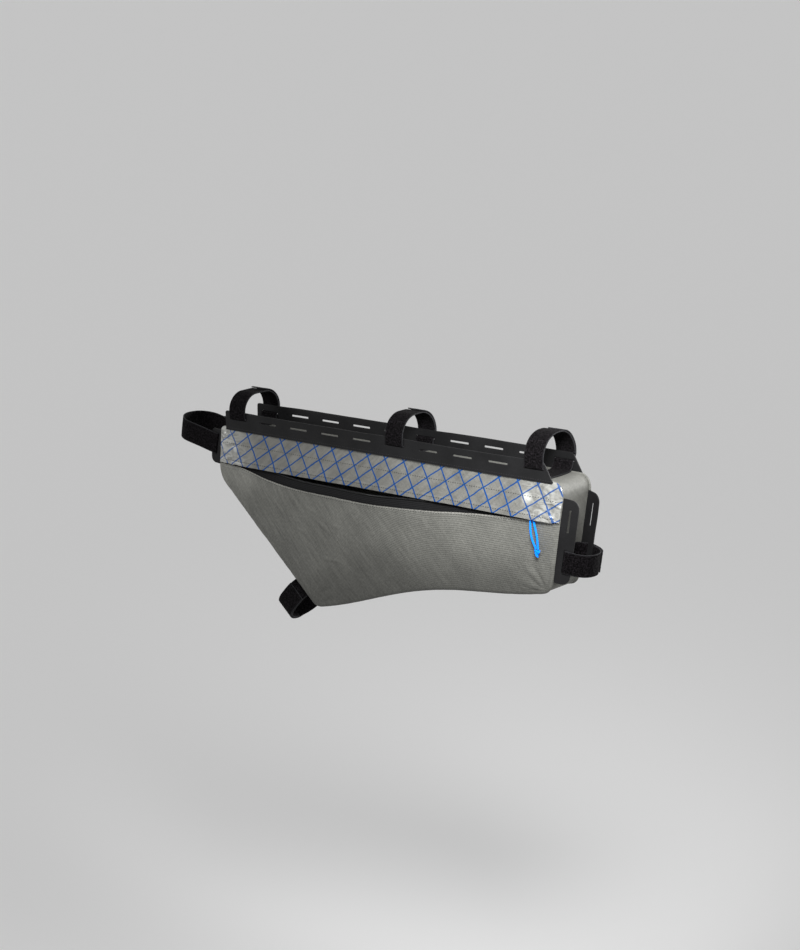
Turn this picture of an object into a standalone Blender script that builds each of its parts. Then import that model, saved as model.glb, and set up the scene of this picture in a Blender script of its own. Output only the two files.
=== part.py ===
"""Frame bag that hangs under a bicycle's top tube, held by five strap loops and a down-tube strap.

X runs rearward along the top tube, -Y is the zip side and Z is up. The origin is
where the top tube sits: on the gusset's top face, midway along the bag.
"""

import math

import bmesh
import bpy
from mathutils import Vector

# Bag body, seen from the side
TOP_LENGTH = 0.4812
FRONT_HEIGHT = 0.0573
BAG_DEPTH = 0.1885
REAR_HEIGHT = 0.116
FRONT_LEAN = math.radians(4.7)
DOWN_TUBE_SLOPE = math.radians(42.4)
SEAT_TUBE_LEAN = math.radians(8.8)
HEAD_TUBE_LEAN = math.radians(11.0)
BOTTOM_BOW = 0.0115
TOP_FRONT_RADIUS = 0.004
FRONT_RADIUS = 0.020
BOTTOM_RADIUS = 0.013
REAR_RADIUS = 0.010
TOP_REAR_RADIUS = 0.012

# Bag body, across
BODY_WIDTH = 0.0476
NEAR_BELLY = 0.0075
FAR_BELLY = 0.0070
WALL = 0.0014
PANEL_OVERHANG = 0.0012
FLAP_HEM = 0.09
FAR_HEM = 0.02
GAP = 0.0003

# Upper panel, which hangs over the zip as a flap
FLAP_DROP = 0.0415
FLAP_BELLY = 0.0046
FLAP_CLEARANCE = 0.0015

# Zip
LIP_SAG = 0.0120
LIP_BULGE = 0.0130
TAPE_HEIGHT = 0.0085
TAPE_TUCK = 0.0040
UPPER_TAPE_HEIGHT = 0.0065
TAPE_THICKNESS = 0.0008
TAPE_INSET = 0.0016
ZIP_END_INSET = 0.0065
COIL_DIAMETER = 0.0022
COIL_CLEARANCE = 0.0008
SLIDER_FROM_REAR = 0.0390
SLIDER_LENGTH = 0.0095
SLIDER_HEIGHT = 0.0090
SLIDER_PLATE = 0.0012
PULL_RIDGE = 0.0017
PULL_RIDGE_HEIGHT = 0.0056

# Flanges, the rubber-coated sheets that the straps pass through
FLANGE_THICKNESS = 0.0014
TOP_FLANGE_HEIGHT = 0.0208
TOP_FLANGE_TUCK = 0.0014
TOP_FLANGE_FRONT_INSET = 0.0080
TOP_FLANGE_REAR_INSET = 0.0110
TOP_FLANGE_REAR_SLANT = 0.0130
TOP_FLANGE_REAR_RADIUS = 0.0060
TOP_FLANGE_FRONT_RADIUS = 0.0025
REAR_FLANGE_WIDTH = 0.0195
REAR_FLANGE_START = 0.0150
REAR_FLANGE_END = 0.0105
REAR_FLANGE_RADIUS = 0.0090
REAR_FLANGE_TOE_IN = math.radians(16.0)
FRONT_FLANGE_WIDTH = 0.0170
FRONT_FLANGE_START = 0.0045
FRONT_FLANGE_END = 0.0125
FRONT_FLANGE_RADIUS = 0.0070

# Slots in the flanges
SLOT_COUNT = 10
SLOT_PITCH = 0.0465
SLOT_ROW_CENTRE = -0.0036
SLOT_HEIGHT = 0.0122
SLOT_CLEARANCE = 0.0004
REAR_SLOT_OFFSET = 0.0105
REAR_SLOT_START = 0.0385
REAR_SLOT_SPACING = 0.0435
FRONT_SLOT_OFFSET = 0.0085
FRONT_SLOT_START = 0.0215

# Straps of hook-and-loop webbing
STRAP_WIDTH = 0.0245
STRAP_THICKNESS = 0.0016
TURN_RADIUS = 0.0013
TAIL_START = 0.0080
TAIL_LENGTH = 0.0320
TOP_LOOP_SAG = 0.0108
TOP_LOOP_SAG_RADIUS = 0.0090
HEAD_LOOP_REACH = 0.0704
HEAD_LOOP_RADIUS = 0.0240
HEAD_LOOP_DEPTH = 0.0052
HEAD_LOOP_DEPTH_RADIUS = 0.0035
SEAT_LOOP_REACH = 0.0262
SEAT_LOOP_RADIUS = 0.0175
SEAT_LOOP_INNER_SPAN = 0.0130
SEAT_LOOP_INNER_RADIUS = 0.0100
DOWN_TUBE_RADIUS = 0.0243
DOWN_STRAP_FROM_CORNER = 0.0290
DOWN_LOOP_BAG_RADIUS = 0.0140
DOWN_TAIL_STOP = 0.0100
KEEPER_THICKNESS = 0.0014
KEEPER_LENGTH = 0.0200
KEEPER_FOOT = 0.0070

# Where the top straps go: which slot, and how far the loop rises above it
TOP_STRAPS = (
    {"name": "top_strap_front", "slot": 0, "rise": 0.0292},
    {"name": "top_strap_middle", "slot": 5, "rise": 0.0322},
    {"name": "top_strap_rear", "slot": 9, "rise": 0.0352},
)

# Pull cord, whose two strands hang from the slider to one knot
CORD_DIAMETER = 0.0024
KNOT_DIAMETER = 0.0062
# Route of the front strand: rearward of the slider, outward of the body's side, up; the rear strand mirrors it
CORD_ROUTE = (
    (-0.0016, 0.0024, -0.0365),
    (-0.0018, 0.0028, -0.0390),
    (-0.0020, 0.0032, -0.0422),
    (-0.0026, 0.0041, -0.0465),
    (-0.0033, 0.0053, -0.0520),
    (-0.0036, 0.0065, -0.0580),
    (-0.0030, 0.0075, -0.0635),
    (-0.0019, 0.0081, -0.0680),
    (-0.0015, 0.0083, -0.0710),
)
CORD_LEAN = 0.0045

# Lip of the lower panel by share of the length: shares of the sag, of the bulge, of the bulge at the
# tape's free edge and of the tape's height
LIP_SECTIONS = (
    {"at": 0.000, "sag": 0.00, "bulge": 0.00, "tape": 0.00, "height": 1.00},
    {"at": 0.065, "sag": 0.14, "bulge": 0.00, "tape": 0.00, "height": 1.00},
    {"at": 0.168, "sag": 0.82, "bulge": 0.25, "tape": 0.16, "height": 1.00},
    {"at": 0.273, "sag": 1.00, "bulge": 0.75, "tape": 0.75, "height": 1.00},
    {"at": 0.372, "sag": 0.98, "bulge": 0.97, "tape": 1.00, "height": 1.00},
    {"at": 0.511, "sag": 1.00, "bulge": 1.00, "tape": 1.00, "height": 1.00},
    {"at": 0.584, "sag": 0.88, "bulge": 0.85, "tape": 0.72, "height": 1.00},
    {"at": 0.680, "sag": 0.70, "bulge": 0.45, "tape": 0.08, "height": 0.80},
    {"at": 0.743, "sag": 0.48, "bulge": 0.20, "tape": 0.00, "height": 0.90},
    {"at": 0.902, "sag": 0.10, "bulge": 0.00, "tape": 0.00, "height": 1.00},
    {"at": 1.000, "sag": 0.00, "bulge": 0.00, "tape": 0.00, "height": 1.00},
)
# Lower edge of the flap: share of the length, share of the bulge
FLAP_SECTIONS = (
    {"at": 0.000, "bulge": 0.00},
    {"at": 0.060, "bulge": 0.45},
    {"at": 0.200, "bulge": 0.70},
    {"at": 0.500, "bulge": 0.60},
    {"at": 0.800, "bulge": 0.80},
    {"at": 0.900, "bulge": 1.00},
    {"at": 0.950, "bulge": 0.95},
    {"at": 1.000, "bulge": 0.00},
)

COLUMNS = 36
HALF_WIDTH = BODY_WIDTH / 2
NEAR = -1
FAR = 1
UP = Vector((0, 0, 1))
ACROSS = Vector((0, 1, 0))
REARWARD = Vector((1, 0, 0))


def clear_scene():
    for obj in list(bpy.data.objects):
        bpy.data.objects.remove(obj, do_unlink=True)


def make_material(name, colour, roughness):
    material = bpy.data.materials.new(name)
    material.use_nodes = True
    shader = material.node_tree.nodes["Principled BSDF"]
    shader.inputs["Base Color"].default_value = (*colour, 1.0)
    shader.inputs["Roughness"].default_value = roughness
    return material


def make_materials():
    return {
        "body_nylon": make_material("body_nylon", (0.105, 0.107, 0.093), 0.75),
        "grid_laminate": make_material("grid_laminate", (0.33, 0.34, 0.31), 0.40),
        "rubber_sheet": make_material("rubber_sheet", (0.023, 0.023, 0.024), 0.60),
        "loop_webbing": make_material("loop_webbing", (0.008, 0.008, 0.009), 0.95),
        "zip_tape": make_material("zip_tape", (0.014, 0.014, 0.015), 0.80),
        "zip_coil": make_material("zip_coil", (0.010, 0.010, 0.011), 0.35),
        "pull_cord": make_material("pull_cord", (0.0, 0.29, 0.95), 0.55),
    }


def smooth_step(t):
    t = min(max(t, 0.0), 1.0)
    return t * t * (3 - 2 * t)


def from_table(rows, share, column):
    """Value of a table's column at a share of the length, in smooth steps between its rows."""
    for low, high in zip(rows, rows[1:]):
        if share <= high["at"]:
            t = smooth_step((share - low["at"]) / (high["at"] - low["at"]))
            return low[column] + (high[column] - low[column]) * t
    return rows[-1][column]


def rounded_corner(before, corner, after, radius, steps):
    """Arc that rounds a corner, as points from its first tangent point to its last."""
    into = (before - corner).normalized()
    out = (after - corner).normalized()
    half = into.angle(out) / 2
    centre = corner + (into + out).normalized() * (radius / math.sin(half))
    start = corner + into * (radius / math.tan(half)) - centre
    turn = math.pi - 2 * half
    if into.cross(out) > 0:
        turn = -turn
    arc = []
    for step in range(steps + 1):
        angle = turn * step / steps
        cos, sin = math.cos(angle), math.sin(angle)
        arc.append(centre + Vector((start.x * cos - start.y * sin, start.x * sin + start.y * cos)))
    return arc


def rounded_polygon(corners, longest=None):
    """Closed outline through (point, radius) corners; longest splits its straight runs."""
    arcs = []
    for i, (corner, radius) in enumerate(corners):
        before, after = corners[i - 1][0], corners[(i + 1) % len(corners)][0]
        steps = 3 if radius < 0.004 else 7
        arcs.append(rounded_corner(before, corner, after, radius, steps) if radius else [corner])
    points = []
    for arc, following in zip(arcs, arcs[1:] + arcs[:1]):
        points += arc
        run = (following[0] - arc[-1]).length
        pieces = max(1, math.ceil(run / longest)) if longest else 1
        points += [arc[-1].lerp(following[0], i / pieces) for i in range(1, pieces)]
    return points


def body_corners():
    """Corners of the bag's side outline, as (x, z), from the top front down and round to the top rear."""
    top_front = Vector((-TOP_LENGTH / 2, 0))
    front = top_front + FRONT_HEIGHT * Vector((-math.tan(FRONT_LEAN), -1))
    drop = BAG_DEPTH - FRONT_HEIGHT
    bottom = front + Vector((drop / math.tan(DOWN_TUBE_SLOPE), -drop))
    top_rear = Vector((TOP_LENGTH / 2, 0))
    rear = top_rear + REAR_HEIGHT * Vector((-math.tan(SEAT_TUBE_LEAN), -1))
    return top_front, front, bottom, rear, top_rear


def run_between(start, end, pieces, bow=0.0):
    """Points strictly between two ends, bowed to the left of the way from start to end."""
    left = Vector((start.y - end.y, end.x - start.x)).normalized()
    points = []
    for i in range(1, pieces):
        share = i / pieces
        points.append(start.lerp(end, share) + left * bow * math.sin(math.pi * share) ** 2)
    return points


def body_outline(offset=0.0):
    """Side outline moved out by offset, as two chains that share their ends.

    The first runs from the top front corner down and round to the top rear one,
    and the second runs back along the top.
    """
    top_front, front, bottom, rear, top_rear = body_corners()
    arc_front = rounded_corner(top_front, front, bottom, FRONT_RADIUS, 4)
    arc_bottom = rounded_corner(front, bottom, rear, BOTTOM_RADIUS, 5)
    arc_rear = rounded_corner(bottom, rear, top_rear, REAR_RADIUS, 4)
    arc_top_rear = rounded_corner(rear, top_rear, top_front, TOP_REAR_RADIUS, 4)
    arc_top_front = rounded_corner(top_rear, top_front, front, TOP_FRONT_RADIUS, 3)
    lower = run_between(arc_top_front[-1], arc_front[0], 4) + arc_front
    lower += run_between(arc_front[-1], arc_bottom[0], 9) + arc_bottom
    lower += run_between(arc_bottom[-1], arc_rear[0], 16, BOTTOM_BOW) + arc_rear
    lower += run_between(arc_rear[-1], arc_top_rear[0], 6)
    upper = arc_top_rear + run_between(arc_top_rear[-1], arc_top_front[0], 12) + arc_top_front
    ring = moved_out(lower + upper, offset)
    split = len(lower)
    return [ring[-1]] + ring[:split + 1], ring[split:]


def moved_out(ring, offset):
    """A closed outline moved to the right of its way round, which is out of the bag."""
    moved = []
    for i, point in enumerate(ring):
        along = (ring[(i + 1) % len(ring)] - ring[i - 1]).normalized()
        moved.append(point + Vector((along.y, -along.x)) * offset)
    return moved


def crossing(chain, z):
    """Index and place at which a chain, read from its start, first goes past the height z."""
    for i, (start, end) in enumerate(zip(chain, chain[1:])):
        if end.y <= z < start.y:
            return i, start.lerp(end, (z - start.y) / (end.y - start.y))
    raise ValueError("the outline doesn't reach that height")


def part_below(chain, z_front, z_rear):
    """The stretch of the lower chain between a height on its front edge and one on its rear edge."""
    first, start = crossing(chain, z_front)
    last, end = crossing(chain[::-1], z_rear)
    return [start] + chain[first + 1:len(chain) - 1 - last] + [end]


def resampled(points, count):
    """The chain as count + 1 points, spaced evenly along it."""
    lengths = [0.0]
    for start, end in zip(points, points[1:]):
        lengths.append(lengths[-1] + (end - start).length)
    result = []
    piece = 0
    for i in range(count + 1):
        wanted = lengths[-1] * i / count
        while piece < len(points) - 2 and lengths[piece + 1] < wanted:
            piece += 1
        share = (wanted - lengths[piece]) / (lengths[piece + 1] - lengths[piece])
        result.append(points[piece].lerp(points[piece + 1], min(share, 1.0)))
    return result


def add_object(name, bm, material, smooth_angle=35):
    bmesh.ops.recalc_face_normals(bm, faces=bm.faces)
    mesh = bpy.data.meshes.new(name)
    bm.to_mesh(mesh)
    bm.free()
    mesh.materials.append(material)
    mesh.shade_smooth()
    mesh.set_sharp_from_angle(angle=math.radians(smooth_angle))
    obj = bpy.data.objects.new(name, mesh)
    bpy.context.scene.collection.objects.link(obj)
    return obj


def add_shell(name, inner, outer, material, closed=False):
    """Closed solid between two grids of points; closed joins each row's end to its start."""
    bm = bmesh.new()
    layers = [[[bm.verts.new(p) for p in row] for row in grid] for grid in (inner, outer)]
    rows, columns = len(inner), len(inner[0])
    for i in range(rows - 1):
        for j in range(columns if closed else columns - 1):
            k = (j + 1) % columns
            for layer in layers:
                bm.faces.new((layer[i][j], layer[i][k], layer[i + 1][k], layer[i + 1][j]))
    near, far = layers
    rims = [[(i, j) for j in range(columns)] + [(i, 0)] * closed for i in (0, rows - 1)]
    if not closed:
        rims += [[(i, j) for i in range(rows)] for j in (0, columns - 1)]
    for rim in rims:
        for (a, b), (c, d) in zip(rim, rim[1:]):
            bm.faces.new((near[a][b], near[c][d], far[c][d], far[a][b]))
    return add_object(name, bm, material)


def thickened(grid, thickness, towards):
    """The grid moved along its own normals, to the side that towards points to."""
    rows, columns = len(grid), len(grid[0])
    moved = []
    for i in range(rows):
        line = []
        for j in range(columns):
            down = grid[min(i + 1, rows - 1)][j] - grid[max(i - 1, 0)][j]
            along = grid[i][min(j + 1, columns - 1)] - grid[i][max(j - 1, 0)]
            normal = along.cross(down).normalized()
            if normal.dot(towards) < 0:
                normal.negate()
            line.append(grid[i][j] + normal * thickness)
        moved.append(line)
    return moved


def add_sheet(name, grid, thickness, towards, material):
    return add_shell(name, grid, thickened(grid, thickness, towards), material)


def panel_grid(upper, lower, rows, depth, hem=0.0):
    """Grid between two chains in the side plane; depth(share, height) is its y.

    A hem is the share of the height along the top that stays flat, with a row at its foot.
    """
    last = len(upper) - 1
    grid = []
    heights = [1.0] * (hem > 0) + [(1 - hem) * (1 - i / rows) for i in range(rows + 1)]
    for height in heights:
        places = [low.lerp(high, height) for low, high in zip(lower, upper)]
        filled = min(height / (1 - hem), 1.0)
        grid.append([Vector((p.x, depth(j / last, filled), p.y)) for j, p in enumerate(places)])
    return grid


def belly(share, height):
    """Share of a filled panel's bulge, which leaves the seams steeply and is flat in the middle."""
    return (max(0.0, math.sin(math.pi * share)) * max(0.0, math.sin(math.pi * height))) ** 0.7


def make_gusset(materials):
    """The band of cloth that goes all round the bag between its two sides."""
    reach = HALF_WIDTH - GAP
    levels = (-reach, -reach / 3, reach / 3, reach)
    grids = []
    for offset in (-WALL, 0.0):
        lower, upper = body_outline(offset)
        ring = lower[1:] + upper[1:]
        grids.append([[Vector((p.x, y, p.y)) for p in ring] for y in levels])
    add_shell("gusset_band", grids[0], grids[1], materials["body_nylon"], closed=True)


def lip_chain(lower):
    """Upper edge of the lower panel, as (x, z) points from the front seam to the rear one."""
    z_ends = -(FLAP_DROP + FLAP_CLEARANCE)
    front = crossing(lower, z_ends)[1]
    rear = crossing(lower[::-1], z_ends)[1]
    points = []
    for i in range(COLUMNS + 1):
        share = i / COLUMNS
        place = front.lerp(rear, share)
        points.append(place - Vector((0, LIP_SAG * from_table(LIP_SECTIONS, share, "sag"))))
    return points


def near_depth(share, height):
    bulge = LIP_BULGE * from_table(LIP_SECTIONS, share, "bulge") * height ** 1.5
    return -(HALF_WIDTH + NEAR_BELLY * belly(share, height) + bulge)


def flap_depth(share, height):
    bulge = FLAP_BELLY * from_table(FLAP_SECTIONS, share, "bulge") * (1 - height) ** 1.2
    return -(HALF_WIDTH + bulge)


def far_depth(share, height):
    return HALF_WIDTH + FAR_BELLY * belly(share, height)


def make_panels(materials):
    """The zip side in two panels, with the upper one hanging as a flap, and the plain far side."""
    lower, upper = body_outline(PANEL_OVERHANG)
    top = resampled(upper[::-1], COLUMNS)
    z_ends = -(FLAP_DROP + FLAP_CLEARANCE)
    edge = 0.0045
    rear_low = -(REAR_HEIGHT - REAR_RADIUS)
    near_chain = resampled(part_below(lower, z_ends - edge, rear_low), COLUMNS)
    near = panel_grid(lip_chain(lower), near_chain, 8, near_depth)
    add_sheet("near_lower_panel", near, WALL, -ACROSS, materials["body_nylon"])

    flap_ends = [crossing(chain, -FLAP_DROP)[1] for chain in (lower, lower[::-1])]
    flap_chain = [flap_ends[0].lerp(flap_ends[1], i / COLUMNS) for i in range(COLUMNS + 1)]
    flap = panel_grid(top, flap_chain, 5, flap_depth, FLAP_HEM)
    add_sheet("near_upper_panel", flap, WALL, -ACROSS, materials["grid_laminate"])

    far_front = -(FRONT_HEIGHT - FRONT_RADIUS / 2)
    far_chain = resampled(part_below(lower, far_front, rear_low), COLUMNS)
    far = panel_grid(top, far_chain, 9, far_depth, FAR_HEM)
    add_sheet("far_panel", far, WALL, ACROSS, materials["body_nylon"])
    return near, flap


def zip_shares():
    """Shares of the length at which the zip's tapes have their points, clear of the end seams."""
    inset = ZIP_END_INSET / TOP_LENGTH
    return [inset + (1 - 2 * inset) * i / COLUMNS for i in range(COLUMNS + 1)]


def on_column(grid, share, row):
    """Point of a panel's grid at a share of its columns and a row, which may both be fractions."""
    column = share * (len(grid[0]) - 1)
    j = min(int(column), len(grid[0]) - 2)
    i = min(int(row), len(grid) - 2)
    upper = grid[i][j].lerp(grid[i][j + 1], column - j)
    lower = grid[i + 1][j].lerp(grid[i + 1][j + 1], column - j)
    return upper.lerp(lower, row - i)


def make_zip(materials, near, flap):
    """Two tapes, each with its coil along one edge: the lower one sags open with the lip."""
    coil_radius = COIL_DIAMETER / 2
    tape_y = -(HALF_WIDTH - TAPE_INSET)
    inward = Vector((0, GAP + TAPE_THICKNESS, 0))
    lower_rows = [[], [], []]
    lower_coil, upper_coil = [], []
    upper_rows = [[], []]
    for share in zip_shares():
        lip = on_column(near, share, 0)
        step = (on_column(near, share, 1) - lip).length
        bulge = LIP_BULGE * from_table(LIP_SECTIONS, share, "tape")
        height = TAPE_HEIGHT * from_table(LIP_SECTIONS, share, "height")
        edge = Vector((lip.x, tape_y - bulge + TAPE_THICKNESS, lip.z + height))
        tuck = on_column(near, share, min(TAPE_TUCK / step, 1.0))
        lower_rows[0].append(edge)
        lower_rows[1].append(lip + inward)
        lower_rows[2].append(tuck + inward)
        up = (edge - lip - inward).normalized()
        out = Vector((0, -up.z, up.y))
        lower_coil.append(edge + up * (coil_radius + GAP) + out * TAPE_THICKNESS / 2)
        z_upper = -(FLAP_DROP + FLAP_CLEARANCE) + TAPE_HEIGHT + coil_radius + GAP
        z_upper += COIL_DIAMETER + COIL_CLEARANCE
        upper_coil.append(Vector((lip.x, tape_y + TAPE_THICKNESS / 2, z_upper)))
        bottom = Vector((lip.x, tape_y + TAPE_THICKNESS, z_upper + coil_radius + GAP))
        sewn_z = bottom.z + UPPER_TAPE_HEIGHT
        row = (flap[0][COLUMNS // 2].z - sewn_z) / (flap[0][COLUMNS // 2].z + FLAP_DROP) * (len(flap) - 1)
        sewn = on_column(flap, share, row) + inward
        upper_rows[0].append(Vector((lip.x, sewn.y, sewn_z)))
        upper_rows[1].append(bottom)
    add_sheet("zip_tape_lower", lower_rows, TAPE_THICKNESS, -ACROSS, materials["zip_tape"])
    add_sheet("zip_tape_upper", upper_rows, TAPE_THICKNESS, -ACROSS, materials["zip_tape"])
    add_tube("zip_coil_lower", lower_coil, COIL_DIAMETER, materials["zip_coil"])
    add_tube("zip_coil_upper", upper_coil, COIL_DIAMETER, materials["zip_coil"])


def add_tube(name, points, diameter, material):
    """Round tube along a chain of points, with flat caps."""
    curve = bpy.data.curves.new(name, "CURVE")
    curve.dimensions = "3D"
    curve.bevel_depth = diameter / 2
    curve.bevel_resolution = 2
    curve.use_fill_caps = True
    spline = curve.splines.new("POLY")
    spline.points.add(len(points) - 1)
    for target, point in zip(spline.points, points):
        target.co = (*point, 1.0)
    curve.materials.append(material)
    obj = bpy.data.objects.new(name, curve)
    bpy.context.scene.collection.objects.link(obj)
    return obj


def slider_place():
    """Middle of the slider, on the outer side of the closed coils."""
    coil_radius = COIL_DIAMETER / 2
    lower_coil = -(FLAP_DROP + FLAP_CLEARANCE) + TAPE_HEIGHT + coil_radius + GAP
    z = lower_coil + (COIL_DIAMETER + COIL_CLEARANCE) / 2
    y = -(HALF_WIDTH - TAPE_INSET - TAPE_THICKNESS / 2 + coil_radius + GAP)
    return Vector((TOP_LENGTH / 2 - SLIDER_FROM_REAR, y, z))


def make_slider(materials):
    """The slider's front plate, with the low ridge that the pull cord hangs from."""
    place = slider_place()
    half = SLIDER_HEIGHT / 2
    ridge = PULL_RIDGE_HEIGHT / 2
    face = -SLIDER_PLATE
    top = face - PULL_RIDGE
    section = (
        (0, -half), (0, half), (face, half), (face, ridge), (top, ridge), (top, -ridge), (face, -ridge), (face, -half),
    )
    bm = bmesh.new()
    verts = [bm.verts.new(place + Vector((-SLIDER_LENGTH / 2, y, z))) for y, z in section]
    face = bm.faces.new(verts)
    moved = bmesh.ops.extrude_face_region(bm, geom=[face])["geom"]
    new_verts = [v for v in moved if isinstance(v, bmesh.types.BMVert)]
    bmesh.ops.translate(bm, verts=new_verts, vec=(SLIDER_LENGTH, 0, 0))
    add_object("zip_slider", bm, materials["zip_coil"], 20)


def smooth_route(points, steps):
    """Points on a smooth curve through the route's own points."""
    padded = [points[0] * 2 - points[1]] + points + [points[-1] * 2 - points[-2]]
    curve = []
    for a, b, c, d in zip(padded, padded[1:], padded[2:], padded[3:]):
        for step in range(steps):
            t = step / steps
            curve.append(
                0.5 * (2 * b + (c - a) * t + (2 * a - 5 * b + 4 * c - d) * t ** 2 + (3 * b - a - 3 * c + d) * t ** 3)
            )
    return curve + [points[-1]]


def make_pull_cord(materials):
    """Two strands of cord from the slider to a knot; they lean rearward as they hang."""
    slider = slider_place()
    top_z, end_z = CORD_ROUTE[0][2], CORD_ROUTE[-1][2]
    for name, hand in (("pull_cord_front", 1), ("pull_cord_rear", -1)):
        route = []
        for across, out, z in CORD_ROUTE:
            lean = CORD_LEAN * (z - top_z) / (end_z - top_z)
            route.append(Vector((slider.x + across * hand + lean, -(HALF_WIDTH + out), z)))
        add_tube(name, smooth_route(route, 1), CORD_DIAMETER, materials["pull_cord"])
    across, out, z = CORD_ROUTE[-1]
    centre = Vector((slider.x + CORD_LEAN, -(HALF_WIDTH + out), z - KNOT_DIAMETER / 2 - GAP))
    bm = bmesh.new()
    bmesh.ops.create_uvsphere(bm, u_segments=10, v_segments=7, radius=KNOT_DIAMETER / 2)
    bmesh.ops.translate(bm, verts=bm.verts, vec=centre)
    add_object("pull_knot", bm, materials["pull_cord"], 60)


def add_plate(name, outline, frame, slots, material):
    """Flat sheet of rubber with slots cut through it.

    The outline is in the plate's own plane, and frame gives its origin, its two
    directions there and the way its thickness goes. A slot is (middle, direction).
    """
    origin, first, second, through = frame
    bm = bmesh.new()
    verts = [bm.verts.new(origin + first * p.x + second * p.y) for p in outline]
    moved = bmesh.ops.extrude_face_region(bm, geom=[bm.faces.new(verts)])["geom"]
    new_verts = [v for v in moved if isinstance(v, bmesh.types.BMVert)]
    bmesh.ops.translate(bm, verts=new_verts, vec=through * FLANGE_THICKNESS)
    plate = add_object(name, bm, material, 30)

    half_long = STRAP_WIDTH / 2 + SLOT_CLEARANCE
    half_short = STRAP_THICKNESS / 2 + SLOT_CLEARANCE
    cuts = bmesh.new()
    for middle, direction in slots:
        aside = Vector((-direction.y, direction.x))
        corners = []
        for a, b in ((-1, -1), (1, -1), (1, 1), (-1, 1)):
            p = middle + direction * half_long * a + aside * half_short * b
            corners.append(origin + first * p.x + second * p.y)
        low = [cuts.verts.new(c - through * FLANGE_THICKNESS) for c in corners]
        moved = bmesh.ops.extrude_face_region(cuts, geom=[cuts.faces.new(low)])["geom"]
        new_verts = [v for v in moved if isinstance(v, bmesh.types.BMVert)]
        bmesh.ops.translate(cuts, verts=new_verts, vec=through * FLANGE_THICKNESS * 3)
    cutter = add_object(name + "_slots", cuts, material)
    cutter.hide_render = True
    cutter.display_type = "WIRE"
    boolean = plate.modifiers.new("slots", "BOOLEAN")
    boolean.operation = "DIFFERENCE"
    boolean.solver = "EXACT"
    boolean.object = cutter


def slot_x(index):
    return SLOT_ROW_CENTRE + (index - (SLOT_COUNT - 1) / 2) * SLOT_PITCH


def top_flange_face():
    """Distance from the mid-plane to the top flange's inner face."""
    return HALF_WIDTH + WALL + GAP


def make_top_flanges(materials):
    """The slotted strips that stand up beside the top tube, one on each side."""
    front = -TOP_LENGTH / 2 + TOP_FLANGE_FRONT_INSET
    rear = TOP_LENGTH / 2 - TOP_FLANGE_REAR_INSET
    corners = [
        (Vector((front, -TOP_FLANGE_TUCK)), 0),
        (Vector((rear, -TOP_FLANGE_TUCK)), 0),
        (Vector((rear - TOP_FLANGE_REAR_SLANT, TOP_FLANGE_HEIGHT)), TOP_FLANGE_REAR_RADIUS),
        (Vector((front, TOP_FLANGE_HEIGHT)), TOP_FLANGE_FRONT_RADIUS),
    ]
    outline = rounded_polygon(corners)
    slots = [(Vector((slot_x(i), SLOT_HEIGHT)), Vector((1, 0))) for i in range(SLOT_COUNT)]
    for name, side in (("top_flange_near", NEAR), ("top_flange_far", FAR)):
        frame = (ACROSS * side * top_flange_face(), REARWARD, UP, ACROSS * side)
        add_plate(name, outline, frame, slots, materials["rubber_sheet"])


def edge_frame(corner, other, toe_in, side):
    """Frame of a flange beside an upright edge of the bag: down the edge, out of it, and through the sheet."""
    down = (other - corner).normalized()
    out = Vector((down.y, -down.x)) if corner.x < 0 else Vector((-down.y, down.x))
    down = Vector((down.x, 0, down.y))
    out = Vector((out.x, 0, out.y))
    inward = -ACROSS * side
    across = out * math.cos(toe_in) + inward * math.sin(toe_in)
    through = inward * math.cos(toe_in) - out * math.sin(toe_in)
    origin = Vector((corner.x, side * (HALF_WIDTH - GAP), corner.y))
    return origin, down, across, through


def make_rear_flanges(materials):
    """The sheets beside the seat tube, each with two slots, drawn in towards the narrower tube."""
    top_rear, rear = body_corners()[4], body_corners()[3]
    root = GAP * 2
    end = (rear - top_rear).length - REAR_FLANGE_END
    corners = [
        (Vector((REAR_FLANGE_START, root)), 0),
        (Vector((REAR_FLANGE_START, REAR_FLANGE_WIDTH)), REAR_FLANGE_RADIUS),
        (Vector((end, REAR_FLANGE_WIDTH)), REAR_FLANGE_RADIUS),
        (Vector((end, root)), 0),
    ]
    outline = rounded_polygon(corners)
    slots = []
    for i in range(2):
        slots.append((Vector((REAR_SLOT_START + i * REAR_SLOT_SPACING, REAR_SLOT_OFFSET)), Vector((1, 0))))
    for name, side in (("rear_flange_near", NEAR), ("rear_flange_far", FAR)):
        frame = edge_frame(top_rear, rear, REAR_FLANGE_TOE_IN, side)
        add_plate(name, outline, frame, slots, materials["rubber_sheet"])


def make_front_flanges(materials):
    """The sheets in front of the bag that the head-tube strap passes through."""
    top_front, front = body_corners()[0], body_corners()[1]
    root = GAP * 2
    end = (front - top_front).length - FRONT_FLANGE_END
    corners = [
        (Vector((FRONT_FLANGE_START, root)), 0),
        (Vector((FRONT_FLANGE_START, FRONT_FLANGE_WIDTH)), FRONT_FLANGE_RADIUS / 2),
        (Vector((end, FRONT_FLANGE_WIDTH)), FRONT_FLANGE_RADIUS),
        (Vector((end, root)), 0),
    ]
    outline = rounded_polygon(corners)
    turn = HEAD_TUBE_LEAN - FRONT_LEAN
    slot = (Vector((FRONT_SLOT_START, FRONT_SLOT_OFFSET)), Vector((math.cos(turn), math.sin(turn))))
    for name, side in (("front_flange_near", NEAR), ("front_flange_far", FAR)):
        frame = edge_frame(top_front, front, 0.0, side)
        add_plate(name, outline, frame, [slot], materials["rubber_sheet"])


def lengths_along(points):
    total = [0.0]
    for start, end in zip(points, points[1:]):
        total.append(total[-1] + (end - start).length)
    return total


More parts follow.
